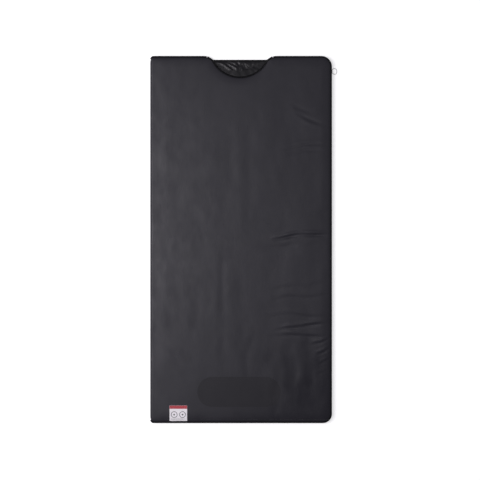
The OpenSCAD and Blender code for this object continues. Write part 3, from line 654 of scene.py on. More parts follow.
liner_columns = columns_of(HALF_WIDTH - LINER_INSET, LINER_GRID, LINER_FINE)
facing_columns = columns_of(HALF_WIDTH - LINER_INSET, LINER_GRID, LINER_FINE,
                            (NECK_X - NECK_HALF, NECK_X + NECK_HALF, NECK_GRID))
liner_parts = (
    ("mat_liner_sheet", ["mat_liner"], "mat", liner_columns, False, True, LINER_GRID,
     11.0),
    ("mat_neck_facing_sheet",
     ["mat_neck_facing", "mat_shoulder_liner_left", "mat_shoulder_liner_right"], "mat",
     facing_columns, False, False, NECK_GRID, 11.0),
    ("cover_liner_sheet", ["cover_liner"], "cover", liner_columns, True, True, LINER_GRID,
     31.0),
    ("cover_neck_facing_sheet", ["cover_neck_facing"], "cover", liner_columns, True,
     False, FACING_GRID, 31.0),
)
for name, nodes, body, columns, scoop, main, grid, seed in liner_parts:
    if main:
        low_edge = lambda x: foot_edge(x, LINER_INSET)
        high_edge = lambda x: FACING_SEAM_Y
    else:
        low_edge = lambda x: FACING_SEAM_Y
        high_edge = lambda x, deep=scoop: min(
            HALF_LENGTH - LINER_INSET if abs(x - NECK_X) < NECK_HALF
            else head_edge(x, LINER_INSET, False), head_edge(x, NECK_INSET, deep))
    sheet = liner_sheet(name, columns, low_edge, high_edge, grid, seed, scoop,
                        not scoop and not main, "high" if main else "low")
    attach(sheet, body)
    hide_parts(*nodes)
    spans = [high_edge(x) - low_edge(x) for x in columns]


# ---- Fold between the panels ----
# One strip of shell cloth and one of liner run round the fold and are sewn to both
# panels, and a gusset closes each end.

FOLD_STEPS = 20
FOLD_GRID = 0.0075


def fold_radius(y):
    """Radius of the strip, drawn in at both ends like the panels' edges."""
    edge = max(HALF_LENGTH - RIM - abs(y), 0)
    ripple = noise.noise(Vector((0.3, y * 9.0, 2.2))) * 0.00025
    return MID_Z - SEAM_DROP * math.exp(-edge / ROLL_WIDTH) + ripple * min(1, edge / 0.03)


# how far the fold's two ends are drawn in, half-way round
END_DRAW = 0.009


def drawn_in(y, turn, end_y):
    """Y of a point of the fold, moved away from the nearer end part-way round."""
    near_end = max(0, 1 - (end_y - abs(y)) / 0.06)
    return y - math.copysign(END_DRAW * math.sin(turn) ** 2 * near_end ** 2, y)


def two_skins(nx, ny):
    """Faces of two grids laid over each other, and of the wall round them."""
    count = nx * ny
    border = grid_border(nx, ny)
    return (grid_faces(nx, ny) + grid_faces(nx, ny, count)
            + wall_faces(border, [count + k for k in border]))


def bent_strip(radius_at, thickness, end_y, lip):
    """Points and faces of a strip bent half round the fold's axis."""
    rows = [end_y - d for d in (0, 0.0015, 0.004, 0.008, 0.014, 0.022)]
    middle = round(2 * (end_y - 0.022) / FOLD_GRID)
    inner_rows = [(end_y - 0.022) * (1 - 2 * k / middle) for k in range(1, middle)]
    ys = rows + inner_rows + [-y for y in reversed(rows)]
    points = []
    across = FOLD_STEPS + 3
    for skin in (0, thickness):
        for y in ys:
            radius = radius_at(y) - skin
            points.append((FOLD_X + lip, y, MID_Z - radius))
            for k in range(FOLD_STEPS + 1):
                turn = math.pi * k / FOLD_STEPS
                points.append((FOLD_X - radius * math.sin(turn),
                               drawn_in(y, turn, end_y),
                               MID_Z - radius * math.cos(turn)))
            points.append((FOLD_X + lip, y, MID_Z + radius))
    return points, two_skins(len(ys), across)


def add_gusset(points, faces, y, outer, inner, thickness):
    """A half ring of cloth across the end of the fold."""
    base = len(points)
    for side in (-0.5, 0.5):
        for radius in (outer, inner):
            for k in range(FOLD_STEPS + 1):
                turn = math.pi * k / FOLD_STEPS
                end_y = drawn_in(y, turn, HALF_LENGTH - RIM)
                points.append((FOLD_X - radius * math.sin(turn), end_y + side * thickness,
                               MID_Z - radius * math.cos(turn)))
    arc = FOLD_STEPS + 1
    for k in range(FOLD_STEPS):
        for first, second in ((0, 1), (1, 3), (3, 2), (2, 0)):
            a, b = base + first * arc + k, base + second * arc + k
            faces.append((a, b, b + 1, a + 1))
    for k in (0, FOLD_STEPS):
        faces.append((base + k, base + arc + k, base + 3 * arc + k, base + 2 * arc + k))


spine_points, spine_faces = bent_strip(fold_radius, 0.001, HALF_LENGTH - RIM,
                                       PLATE_X - FOLD_X)
for end in (-1, 1):
    gusset_y = end * (HALF_LENGTH - RIM - 0.0015)
    add_gusset(spine_points, spine_faces, gusset_y, fold_radius(gusset_y) - 0.001,
               0.0024, 0.001)
spine = add_piece("fold_spine_strip", spine_points, spine_faces, [shell_cloth])
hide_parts("fold_spine")
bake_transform(spine)

liner_gap = MID_Z - LINER_Z
strip_points, strip_faces = bent_strip(lambda y: liner_gap + LINER_THICKNESS,
                                       LINER_THICKNESS, HALF_LENGTH - LINER_INSET,
                                       PLATE_X - FOLD_X)
liner_strip = add_piece("fold_liner_strip", strip_points, strip_faces, [liner_cloth])
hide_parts("fold_liner")
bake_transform(liner_strip)


# ---- Piping ----
# A cotton cord in a bias strip of the same cloth is sewn into the seam along the head,
# the zipped side and the foot, and turns round the fold at both ends. The strip has
# small puckers from being sewn round a cord.

PIPING_RADIUS = (piping_high.z - piping_low.z) / 2
CORD_RADIUS = PIPING_RADIUS * 0.985
PIPING_PITCH = 0.0055
CORD_END = NOTCH_TOP + 0.0035
TUCK_DEPTH, TUCK_LENGTH = 0.0024, 0.012


def piping_cloth_material():
    material, tree, shader = material_nodes("piping_cloth")
    place = add_place(tree)
    ribs = add_noise(tree, add_place(tree, (1, 1, 0.3)), 420, 3.0)
    patches = add_noise(tree, place, 40, 4.0)
    tree.links.new(add_blend(tree, patches, (0.0018, 0.0018, 0.0023),
                             (0.0034, 0.0034, 0.0042)), shader.inputs["Base Color"])
    tree.links.new(add_range(tree, patches, 0.46, 0.62), shader.inputs["Roughness"])
    shader.inputs["Specular IOR Level"].default_value = 0.15
    add_bumps(tree, shader, ((ribs, 0.0003, 0.5), (add_noise(tree, place, 1300), 0.00006, 0.4)))
    return material


piping_cloth = piping_cloth_material()


def ring_faces(count, sides):
    """Faces that join a row of rings, with a cap at each end."""
    last = (count - 1) * sides
    faces = [(k + n, k + sides + n, k + sides + (n + 1) % sides, k + (n + 1) % sides)
             for k in range(0, last, sides) for n in range(sides)]
    return faces + [tuple(range(sides)), tuple(range(last, last + sides))]


def with_neighbours(path):
    """Each point between the one before and the one after; an end counts as its own."""
    return zip(path[:1] + path[:-1], path, path[1:] + path[-1:])


def tube(path, radius, sides, ripple=0.0, seed=0.0):
    """Points and faces of a tube along a path, capped at both ends."""
    points = []
    up = Vector((0, 0, 1))
    for k, (before, here, after) in enumerate(with_neighbours(path)):
        along = (Vector(after) - Vector(before)).normalized()
        if abs(along.z) > 0.99:
            up = Vector((1, 0, 0))
        side = along.cross(up).normalized()
        over = side.cross(along).normalized()
        swell = 1 + ripple * noise.noise(Vector((k * 1.7, seed, 0.5)))
        for n in range(sides):
            turn = 2 * math.pi * n / sides
            offset = side * math.cos(turn) + over * math.sin(turn)
            points.append(tuple(Vector(here) + offset * radius * swell))
    return points, ring_faces(len(path), sides)


def straight(a, b, pitch):
    """Points from a to b, b left out."""
    count = max(1, round(math.dist(a, b) / pitch))
    return [tuple(p + (q - p) * k / count for p, q in zip(a, b)) for k in range(count)]


def arc(centre, radius, start, stop, pitch):
    """Points of an arc in the plane of the panel, its last point left out."""
    count = max(4, round(abs(math.radians(stop - start)) * radius / pitch))
    turns = [math.radians(start + (stop - start) * k / count) for k in range(count)]
    return [(centre[0] + radius * math.cos(t), centre[1] + radius * math.sin(t))
            for t in turns]


def side_path(inset, head_x, foot_x, pitch):
    """The edge from head_x on the head, down the zipped side, to foot_x on the foot."""
    right, top = HALF_WIDTH - inset, HALF_LENGTH - inset
    head_turn, foot_turn = HEAD_CORNER - inset, FOOT_CORNER - inset
    path = straight((head_x, top), (right - head_turn, top), pitch)
    path += arc((right - head_turn, top - head_turn), head_turn, 90, 0, pitch)
    path += straight((right, top - head_turn), (right, foot_turn - top), pitch)
    path += arc((right - foot_turn, foot_turn - top), foot_turn, 0, -90, pitch)
    path += straight((right - foot_turn, -top), (foot_x, -top), pitch)
    return path + [(foot_x, -top)]


def join_parts(parts):
    """One list of points and one of faces from several."""
    points, faces = [], []
    for part_points, part_faces in parts:
        base = len(points)
        points += part_points
        faces += [tuple(base + k for k in face) for face in part_faces]
    return points, faces


def flange(path, cord_z, seam_z):
    """The strip's two edges, from under the cord into the seam. The panel is on the
    right of the path."""
    points = []
    for before, here, after in with_neighbours(path):
        along = Vector((after[0] - before[0], after[1] - before[1])).normalized()
        inward = (along.y, -along.x)
        for u, z in ((0.0004, cord_z - 0.0008), (SEAM_REACH, seam_z - 0.0005),
                     (SEAM_REACH, seam_z + 0.0005), (0.0004, cord_z + 0.0008)):
            points.append((here[0] + inward[0] * u, here[1] + inward[1] * u, z))
    return points, ring_faces(len(path), 4)


def tucked(path, neck_x):
    """The path with its end at the neck drawn into the seam."""
    return [(x, y - TUCK_DEPTH * max(0, 1 - abs(x - neck_x) / TUCK_LENGTH) ** 2 * (y > 0))
            for x, y in path]


SEAM_REACH = RIM + 0.0012 - PIPING_RADIUS


def panel_piping(z, gap_at_inlet):
    """The runs of cord on one panel."""
    top = HALF_LENGTH - PIPING_RADIUS
    inlet = (INLET_LOW.x - 0.0003, INLET_HIGH.x + 0.0003)
    runs = [straight((PLATE_X, top), (NECK_X - CORD_END, top), PIPING_PITCH)
            + [(NECK_X - CORD_END, top)]]
    foot_x = inlet[1] if gap_at_inlet else PLATE_X
    runs.append(side_path(PIPING_RADIUS, NECK_X + CORD_END, foot_x, PIPING_PITCH))
    if gap_at_inlet:
        runs.append(straight((inlet[0], -top), (PLATE_X, -top), PIPING_PITCH)
                    + [(PLATE_X, -top)])
    runs[0] = tucked(runs[0], NECK_X - CORD_END)
    runs[1] = tucked(runs[1], NECK_X + CORD_END)
    seam_z = SEAM_DROP + 0.0008
    if z > MID_Z:
        seam_z = THICKNESS - seam_z
    parts = [tube([(x, y, z) for x, y in run], CORD_RADIUS, 12, 0.07, seed=float(k))
             for k, run in enumerate(runs)]
    return join_parts(parts + [flange(run, z, seam_z) for run in runs])


for body, z, at_inlet in (("mat", PIPING_RADIUS, True),
                          ("cover", THICKNESS - PIPING_RADIUS, False)):
    piping = add_piece(body + "_piping_cord", *panel_piping(z, at_inlet), [piping_cloth])
    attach(piping, body)
    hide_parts(body + "_piping")


def half_turn(radius, y, y_at):
    """A path half round the fold, from the mat to the cover. y_at gives Y at a turn."""
    turns = [math.pi * k / FOLD_STEPS for k in range(FOLD_STEPS + 1)]
    return ([(PLATE_X, y, MID_Z - radius)]
            + [(FOLD_X - radius * math.sin(turn), y_at(turn),
                MID_Z - radius * math.cos(turn)) for turn in turns]
            + [(PLATE_X, y, MID_Z + radius)])


end_y = HALF_LENGTH - PIPING_RADIUS
fold_turns = [half_turn(MID_Z - PIPING_RADIUS, y, lambda turn: drawn_in(y, turn, end_y))
              for y in (-end_y, end_y)]


def flat_tube(path, radius, sides):
    """A tube for a path that turns round the fold: its rings keep one side along Y."""
    points = []
    for before, here, after in with_neighbours(path):
        along = (Vector(after) - Vector(before)).normalized()
        side = Vector((0, 1, 0))
        over = side.cross(along).normalized()
        for n in range(sides):
            turn = 2 * math.pi * n / sides
            offset = side * math.cos(turn) + over * math.sin(turn)
            points.append(tuple(Vector(here) + offset * radius))
    return points, ring_faces(len(path), sides)


fold_cord = add_piece("fold_piping_cord", *join_parts(
    [flat_tube(path, CORD_RADIUS, 12) for path in fold_turns]), [piping_cloth])
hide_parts("fold_piping")
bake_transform(fold_cord)


# ---- Neck bindings ----
# The raw edge of each panel's neck is wrapped in a folded strip of coated cloth, top-
# stitched through. It puckers a little round the curve of the cover's scoop.

BINDING_WIDTH = 0.0085
BINDING_PITCH = 0.0035


def neck_path(scoop):
    """The cut edge of the neck from the fold's side to the zip's, with its normals."""
    floor_y = HALF_LENGTH - NOTCH_DEPTH
    top_y = HALF_LENGTH - 0.0012
    reach = NOTCH_BOTTOM + NOTCH_FLARE * (top_y - floor_y)
    path = straight((NECK_X - reach, top_y), (NECK_X - NOTCH_BOTTOM, floor_y),
                    BINDING_PITCH)
    if scoop:
        start = math.degrees(math.acos(-NOTCH_BOTTOM / SCOOP_RADIUS))
        path += arc((NECK_X, SCOOP_Y), SCOOP_RADIUS, 360 - start, 180 + start,
                    BINDING_PITCH)
    else:
        path += straight((NECK_X - NOTCH_BOTTOM, floor_y),
                         (NECK_X + NOTCH_BOTTOM, floor_y), BINDING_PITCH)
    path += straight((NECK_X + NOTCH_BOTTOM, floor_y), (NECK_X + reach, top_y),
                     BINDING_PITCH)
    path.append((NECK_X + reach, top_y))
    smooth = [path[0]]
    for before, here, after in zip(path, path[1:], path[2:]):
        smooth.append(tuple((b + 2 * h + a) / 4 for b, h, a in zip(before, here, after)))
    return smooth + [path[-1]]


def neck_binding(scoop):
    """A band folded over the edge: outside, round the edge and inside."""
    path = neck_path(scoop)
    points = []
    ring = 0
    for k, (before, here, after) in enumerate(with_neighbours(path)):
        along = Vector((after[0] - before[0], after[1] - before[1])).normalized()
        inward = Vector((along.y, -along.x))
        pucker = 0.00030 * noise.noise(Vector((k * 0.9, 4.0, float(scoop))))
        profile = binding_profile(here, inward, scoop, pucker)
        ring = len(profile)
        for u, z in profile:
            points.append((here[0] + inward.x * u, here[1] + inward.y * u, z))
    return points, ring_faces(len(path), ring)


def binding_profile(here, inward, scoop, pucker):
    """Closed outline of the band across the edge: distance inwards and height."""
    def outer_z(u):
        x, y = here[0] + inward.x * u, here[1] + inward.y * u
        drop = seam_roll(x, min(y, HALF_LENGTH - RIM), scoop)
        return THICKNESS - drop if scoop else drop

    up = 1 if scoop else -1
    inner_z = THICKNESS - LINER_Z if scoop else LINER_Z
    lift = 0.0007 + pucker
    lip = BINDING_WIDTH
    outside = [(lip, outer_z(lip) + up * 0.0001), (lip, outer_z(lip) + up * lift),
               (lip * 0.6, outer_z(lip * 0.6) + up * lift),
               (lip * 0.25, outer_z(lip * 0.25) + up * lift * 0.9)]
    face_z = outer_z(0.0)
    mid_z = (face_z + inner_z) / 2
    span = face_z - inner_z
    edge = [(0.0005, face_z - span * 0.06), (-0.0006, face_z - span * 0.28),
            (-0.0009, mid_z), (-0.0006, inner_z + span * 0.28),
            (0.0005, inner_z + span * 0.06)]
    inside = [(lip * 0.3, inner_z - up * 0.0003), (lip, inner_z - up * 0.0003),
              (lip, inner_z + up * 0.0004)]
    core = [(0.0018, inner_z + span * 0.2), (0.0018, face_z - span * 0.2)]
    return outside + edge + inside + core


for body, scoop in (("mat", False), ("cover", True)):
    binding = add_piece(body + "_neck_binding_strip", *neck_binding(scoop),
                        [piping_cloth], sharp=70)
    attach(binding, body)
    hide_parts(body + "_neck_binding")


# ---- Stitching ----
# Bonded polyester thread, one shade lighter than the cloth. A row holds the piping on
# each panel. On the cover a second row crosses the foot, where the hem is caught down,
# and a row runs through the neck binding.

STITCH_PITCH = 0.0042
STITCH_LENGTH = 0.0032
THREAD_RADIUS = 0.00034


def thread_material():
    material, tree, shader = material_nodes("sewing_thread")
    twist = add_noise(tree, add_place(tree), 2600, 2.0)
    tree.links.new(add_blend(tree, twist, (0.016, 0.016, 0.019), (0.034, 0.034, 0.039)),
                   shader.inputs["Base Color"])
    shader.inputs["Roughness"].default_value = 0.55
    shader.inputs["Sheen Weight"].default_value = 0.2
    add_bumps(tree, shader, ((twist, 0.0001, 0.6),))
    return material


sewing_thread = thread_material()


def spaced(path, pitch):
    """Points and directions along a path at an even pitch."""
    found = []
    left = pitch / 2
    for a, b in zip(path, path[1:]):
        length = math.dist(a, b)
        if length < 1e-9:
            continue
        way = ((b[0] - a[0]) / length, (b[1] - a[1]) / length)
        while left < length:
            found.append(((a[0] + way[0] * left, a[1] + way[1] * left), way))
            left += pitch
        left -= length
    return found


def stitch_row(path, height_at, up):
    """Short stitches that dip into the cloth at their ends."""
    parts = []
    for (x, y), (wx, wy) in spaced(path, STITCH_PITCH):
        z = height_at(x, y)
        line = []
        for share, lift in ((-0.5, -0.9), (-0.3, 0.35), (0.0, 0.7), (0.3, 0.35), (0.5, -0.9)):
            line.append((x + wx * STITCH_LENGTH * share, y + wy * STITCH_LENGTH * share,
                         z + up * lift * THREAD_RADIUS))
        parts.append(tube(line, THREAD_RADIUS, 5))
    return parts


ROW_END = 0.004
ROW_STEP = 0.004
neck_clear = NOTCH_TOP + 0.012
seam_row = RIM + 0.0032
hem_row_y = 0.018 - HALF_LENGTH
head_row = [(PLATE_X + ROW_END, HALF_LENGTH - seam_row),
            (NECK_X - neck_clear, HALF_LENGTH - seam_row)]
cover_rows = stitch_row(side_path(seam_row, NECK_X + neck_clear, PLATE_X + ROW_END,
                                  ROW_STEP), cover_face, 1)
cover_rows += stitch_row(head_row, cover_face, 1)
cover_rows += stitch_row([(PLATE_X + ROW_END, hem_row_y),
                          (HALF_WIDTH - 0.024, hem_row_y)], cover_face, 1)
neck_row = [(NECK_X + (x - NECK_X) * (1 + 0.006 / SCOOP_RADIUS), y - 0.0055)
            for x, y in neck_path(True) if y < HALF_LENGTH - NOTCH_DEPTH]
cover_rows += stitch_row(neck_row, lambda x, y: cover_face(x, y) + 0.0008, 1)
cover_stitches = add_piece("cover_stitching", *join_parts(cover_rows), [sewing_thread])
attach(cover_stitches, "cover")

mat_rows = stitch_row(side_path(seam_row, NECK_X + neck_clear, INLET_HIGH.x + ROW_END,
                                ROW_STEP), mat_face, -1)
mat_rows += stitch_row(head_row, mat_face, -1)
mat_stitches = add_piece("mat_stitching", *join_parts(mat_rows), [sewing_thread])
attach(mat_stitches, "mat")


# ---- Zip tapes and coils ----
# Woven polyester tape stands along the edge between the panels, and a nylon coil is
# sewn to each tape. The coils stand about 1 mm apart along the slider's run, so that the
# slider clears them, and mesh past it.

coil_low, coil_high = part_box("zip_coil_mat")
ZIP_INSET = HALF_WIDTH - coil_high.x + (coil_high.z - coil_low.z) / 2
COIL_PITCH = 0.0030
COIL_SIDE = 0.00085
COIL_RISE = 0.00095
COIL_WIRE = 0.00036
MESHED_RISE = 0.0003
MESHED_SHIFT = 0.00035
MESHED_START = 0.004
MESHED_LENGTH = 0.012
WIRE_CORNERS = (0.785, 2.356, 3.927, 5.498)  # round the wire, in radians
LOOP_STEPS = 8
zip_joint = next(j for j in frame["record"]["behaviour"]["joints"]
                 if j["name"] == "zip_slide")
RUN_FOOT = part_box("zip_slider")[0].y - zip_joint["range_m"][1]


def zip_tape_material():
    material, tree, shader = material_nodes("zip_tape_weave")
    place = add_place(tree)
    weave = tree.nodes.new("ShaderNodeTexWave")
    weave.bands_direction = "DIAGONAL"
    weave.inputs["Scale"].default_value = 420
    weave.inputs["Distortion"].default_value = 1.2
    tree.links.new(place, weave.inputs["Vector"])
    lint = add_noise(tree, place, 700, 3.0)
    tree.links.new(add_blend(tree, weave.outputs[1], (0.006, 0.006, 0.007),
                             (0.015, 0.015, 0.017)), shader.inputs["Base Color"])
    tree.links.new(add_range(tree, lint, 0.7, 0.9), shader.inputs["Roughness"])
    shader.inputs["Sheen Weight"].default_value = 0.25
    shader.inputs["Sheen Roughness"].default_value = 0.45
    add_bumps(tree, shader, ((weave.outputs[1], 0.00015, 0.6), (lint, 0.00008, 0.5)))
    return material


def coil_material():
    material, tree, shader = material_nodes("nylon_coil")
    marks = add_noise(tree, add_place(tree), 900, 3.0)
    tree.links.new(add_blend(tree, marks, (0.006, 0.006, 0.007), (0.012, 0.012, 0.014)),
                   shader.inputs["Base Color"])
    tree.links.new(add_range(tree, marks, 0.24, 0.42), shader.inputs["Roughness"])
    add_bumps(tree, shader, ((marks, 0.00004, 0.4),))
    return material


def coat_node(node, material):
    """Gives a frame part its finish."""
    mesh = frame["nodes"][node].data
    mesh.materials.clear()
    mesh.materials.append(material)


zip_weave = zip_tape_material()
coat_node("zip_tape_mat", zip_weave)
coat_node("zip_tape_cover", zip_weave)
nylon = coil_material()


def zip_coil(z, head_y, foot_x, phase, up):
    """A coil of wire along the edge, one loop to each tooth. It stands clear of the
    slider's web along the slider's run, and leans towards the other coil past it."""
    full = side_path(ZIP_INSET, HALF_WIDTH - 0.2, foot_x, 0.001)
    path = [p for p in full if p[1] <= head_y and (p[1] < 0 or p[0] > HALF_WIDTH - 0.02)]
    step = COIL_PITCH / LOOP_STEPS
    line = []
    for k, ((x, y), (wx, wy)) in enumerate(spaced(path, step)):
        turn = 2 * math.pi * (k / LOOP_STEPS + phase)
        out = COIL_SIDE * math.cos(turn)
        meshed = float(smooth_step((RUN_FOOT - MESHED_START - y) / MESHED_LENGTH))
        rise = COIL_RISE + MESHED_RISE * meshed
        line.append((x - wy * out, y + wx * out,
                     z + up * MESHED_SHIFT * meshed + rise * math.sin(turn)))
    return coil_tube(line)


def coil_tube(line):
    """A four-sided wire along a tight coil."""
    path = np.array(line)
    along = np.gradient(path, axis=0)
    along /= np.linalg.norm(along, axis=1)[:, None]
    bend = np.gradient(along, axis=0)
    bend -= (bend * along).sum(1)[:, None] * along
    bend /= np.linalg.norm(bend, axis=1)[:, None] + 1e-12
    side = np.cross(along, bend)
    rings = [path + COIL_WIRE * (bend * math.cos(t) + side * math.sin(t))
             for t in WIRE_CORNERS]
    points = np.stack(rings, axis=1).reshape(-1, 3)
    return [tuple(p) for p in points], ring_faces(len(line), 4)


for body, phase, up in (("mat", 0.0, 1), ("cover", 0.5, -1)):
    node = "zip_coil_" + body
    low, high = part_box(node)
    points, faces = zip_coil((low.z + high.z) / 2, high.y, low.x, phase, up)
    coil = add_piece(node + "_loops", points, faces, [nylon], sharp=80)
    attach(coil, body)
    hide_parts(node)


# ---- Zip hardware ----
# The slider, the top stop, the starting box and its pin are die-cast zinc. The slider
# is lacquered black and worn bright in spots, and the pull is a ring of plated wire.

def cast_metal(name, body_colour, worn_colour, rough, wear_from):
    material, tree, shader = material_nodes(name)
    place = add_place(tree)
    wear = add_noise(tree, place, 260, 5.0, 0.65)
    pits = add_noise(tree, place, 1800, 2.0)
    tree.links.new(add_blend(tree, wear, body_colour, worn_colour, wear_from,
                             wear_from + 0.12), shader.inputs["Base Color"])
    tree.links.new(add_range(tree, wear, rough, rough + 0.16), shader.inputs["Roughness"])
    shader.inputs["Metallic"].default_value = 1.0
    add_bumps(tree, shader, ((pits, 0.00003, 0.35),))
    return material


def softened(node, name, radius, material):
    """A frame part with its edges rounded, as a piece that stands for it."""
    mesh = frame["nodes"][node].data.copy()
    mesh.name = name
    mesh.materials.clear()
    mesh.materials.append(material)
    work = bmesh.new()
    work.from_mesh(mesh)
    bmesh.ops.remove_doubles(work, verts=work.verts, dist=1e-6)
    bmesh.ops.dissolve_limit(work, angle_limit=math.radians(3), verts=work.verts,
                             edges=work.edges)
    corners = [e for e in work.edges
               if len(e.link_faces) == 2 and e.calc_face_angle(0) > math.radians(35)]
    bmesh.ops.bevel(work, geom=corners, offset=radius, offset_type="OFFSET", segments=2,
                    profile=0.6, affect="EDGES", clamp_overlap=True)
    bmesh.ops.triangulate(work, faces=[f for f in work.faces if len(f.verts) > 4])
    bmesh.ops.recalc_face_normals(work, faces=work.faces)
    work.to_mesh(mesh)
    work.free()
    mesh.shade_smooth()
    mesh.set_sharp_from_angle(angle=math.radians(40))
    piece = bpy.data.objects.new(name, mesh)
    bpy.context.scene.collection.objects.link(piece)
    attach(piece, frame["nodes"][node]["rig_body"])
    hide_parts(node)
    return piece


black_lacquer = cast_metal("black_lacquered_zinc", (0.016, 0.016, 0.018),
                           (0.20, 0.20, 0.21), 0.30, 0.60)
plated_zinc = cast_metal("dark_plated_zinc", (0.09, 0.09, 0.095), (0.30, 0.30, 0.31),
                         0.32, 0.55)
bright_wire = cast_metal("nickel_plated_wire", (0.22, 0.22, 0.23), (0.34, 0.34, 0.34),
                         0.24, 0.45)

slider = softened("zip_slider", "zip_slider_casting", 0.00028, black_lacquer)
for node, radius in (("zip_top_stop", 0.00025), ("zip_box", 0.0002), ("zip_pin", 0.0002)):
    casting = softened(node, node + "_casting", radius, plated_zinc)
coat_node("zip_pull_ring", bright_wire)


# ---- Care label ----
# A satin-woven label sewn flat on the cover's foot corner. It has a coloured band, two
# plain ring marks and a few plain bars, printed a hair above the cloth.

def printed_material(name, dark, light, rough):
    material, tree, shader = material_nodes(name)
    threads = tree.nodes.new("ShaderNodeTexWave")
    threads.inputs["Scale"].default_value = 900
    tree.links.new(add_place(tree), threads.inputs["Vector"])
    tint = add_noise(tree, add_place(tree), 180, 3.0)
    tree.links.new(add_blend(tree, tint, dark, light), shader.inputs["Base Color"])
    shader.inputs["Roughness"].default_value = rough
    add_bumps(tree, shader, ((threads.outputs[1], 0.00005, 0.4),))
    return material


label_white = printed_material("label_satin", (0.93, 0.90, 0.92), (0.97, 0.95, 0.97), 0.5)
label_red = printed_material("label_red_print", (0.42, 0.035, 0.050), (0.50, 0.050, 0.065),
                             0.5)
label_dark = printed_material("label_dark_print", (0.060, 0.055, 0.075),
                              (0.085, 0.080, 0.100), 0.55)
label_grey = printed_material("label_grey_print", (0.38, 0.37, 0.39), (0.44, 0.43, 0.45),
                              0.55)


def laid_patch(outline_rows, lift, thickness):
    """Points and faces of a thin sheet laid on the cover: rows of (x, y) points."""
    across = np.array([[p[0] for p in row] for row in outline_rows])
    along = np.array([[p[1] for p in row] for row in outline_rows])
    height = cover_top(across, along) + lift
    points = [(x, y, z + skin) for skin in (thickness, 0)
              for x, y, z in zip(across.ravel(), along.ravel(), height.ravel())]
    return points, two_skins(*across.shape)


def patch_rows(low, high, pitch):
    nx = max(2, round((high[0] - low[0]) / pitch) + 1)
    ny = max(2, round((high[1] - low[1]) / pitch) + 1)
    return [[(low[0] + (high[0] - low[0]) * i / (nx - 1),
              low[1] + (high[1] - low[1]) * j / (ny - 1)) for j in range(ny)]
            for i in range(nx)]


def ring_rows(centre, inner, outer, count=40):
    turns = [2 * math.pi * k / count for k in range(count + 1)]
    return [[(centre[0] + r * math.cos(t), centre[1] + r * math.sin(t))
             for r in (inner, outer)] for t in turns]


label_low, label_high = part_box("care_label")
LABEL_BAND = 0.016
LABEL_GRID = 0.004
PRINT_LIFT, PRINT_THICKNESS = 0.0005, 0.00006
band_low = (label_low.x + 0.0004, label_high.y - LABEL_BAND)
band_high = (label_high.x - 0.0004, label_high.y - 0.0004)
label_parts = [(laid_patch(patch_rows(label_low, label_high, LABEL_GRID), 0.0001, 0.0004),
                0)]
prints = [(patch_rows(band_low, band_high, LABEL_GRID), 1)]
label_mid = (label_low.x + label_high.x) / 2
for side in (-1, 1):
    mark = (label_mid + side * 0.0205, label_high.y - 0.0445)
    prints += [(ring_rows(mark, 0.0132, 0.0158), 2), (ring_rows(mark, 0.0001, 0.0040, 16), 2)]
for row in range(3):
    bar_y = label_low.y + 0.0050 + row * 0.0034
    bar_end = label_high.x - (0.008 + 0.011 * (row % 2))
    prints.append((patch_rows((label_low.x + 0.008, bar_y), (bar_end, bar_y + 0.0011),
                              LABEL_GRID), 3))
label_parts += [(laid_patch(rows, PRINT_LIFT, PRINT_THICKNESS), slot)
                for rows, slot in prints]
label_slots = [slot for (_, faces), slot in label_parts for _ in faces]
label = add_piece("care_label_print", *join_parts([part for part, _ in label_parts]),
                  [label_white, label_red, label_dark, label_grey], label_slots)
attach(label, "cover")
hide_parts("care_label")


# ---- Blank patch ----
# A plain round-ended patch of smooth coated cloth, welded on at the foot of the cover.

patch_cloth = coated_cloth("patch_coated_cloth", (0.0070, 0.0063, 0.0102),
                           (0.0078, 0.0070, 0.0112), 0.49, 0.55, 9, 0.0003)
patch_low, patch_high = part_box("blank_patch")
patch_radius = (patch_high.y - patch_low.y) / 2
patch_middle = ((patch_low.x + patch_high.x) / 2, (patch_low.y + patch_high.y) / 2)
patch_reach = (patch_high.x - patch_low.x) / 2 - patch_radius


def pill_rows(centre, radius, reach, pitch):
    """Rows across a shape with two round ends."""
    count = round(2 * (reach + radius) / pitch)
    rows = []
    for k in range(count + 1):
        x = -math.cos(math.pi * k / count) * (reach + radius)
        past = max(abs(x) - reach, 0)
        half = math.sqrt(max(radius * radius - past * past, 1e-8))
        steps = round(2 * radius / pitch)
        rows.append([(centre[0] + x, centre[1] + half * (2 * j / steps - 1))
                     for j in range(steps + 1)])
    return rows


patch = add_piece("blank_patch_cloth",
                  *laid_patch(pill_rows(patch_middle, patch_radius, patch_reach, 0.005),
                              0.0001, 0.0005), [patch_cloth])
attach(patch, "cover")
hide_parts("blank_patch")


# ---- Power inlet ----
# A moulded block is sewn into the mat's foot edge by the fold. It holds a plated sleeve
# with three contacts in a heat-proof insulator, and two slotted screws.

def moulded(name, dark, light, rough):
    material, tree, shader = material_nodes(name)
    place = add_place(tree)
    spark = add_noise(tree, place, 1100, 2.0)
    tone = add_noise(tree, place, 60, 3.0)
    tree.links.new(add_blend(tree, tone, dark, light), shader.inputs["Base Color"])
    tree.links.new(add_range(tree, spark, rough, rough + 0.15), shader.inputs["Roughness"])
    add_bumps(tree, shader, ((spark, 0.00005, 0.5),))
    return material


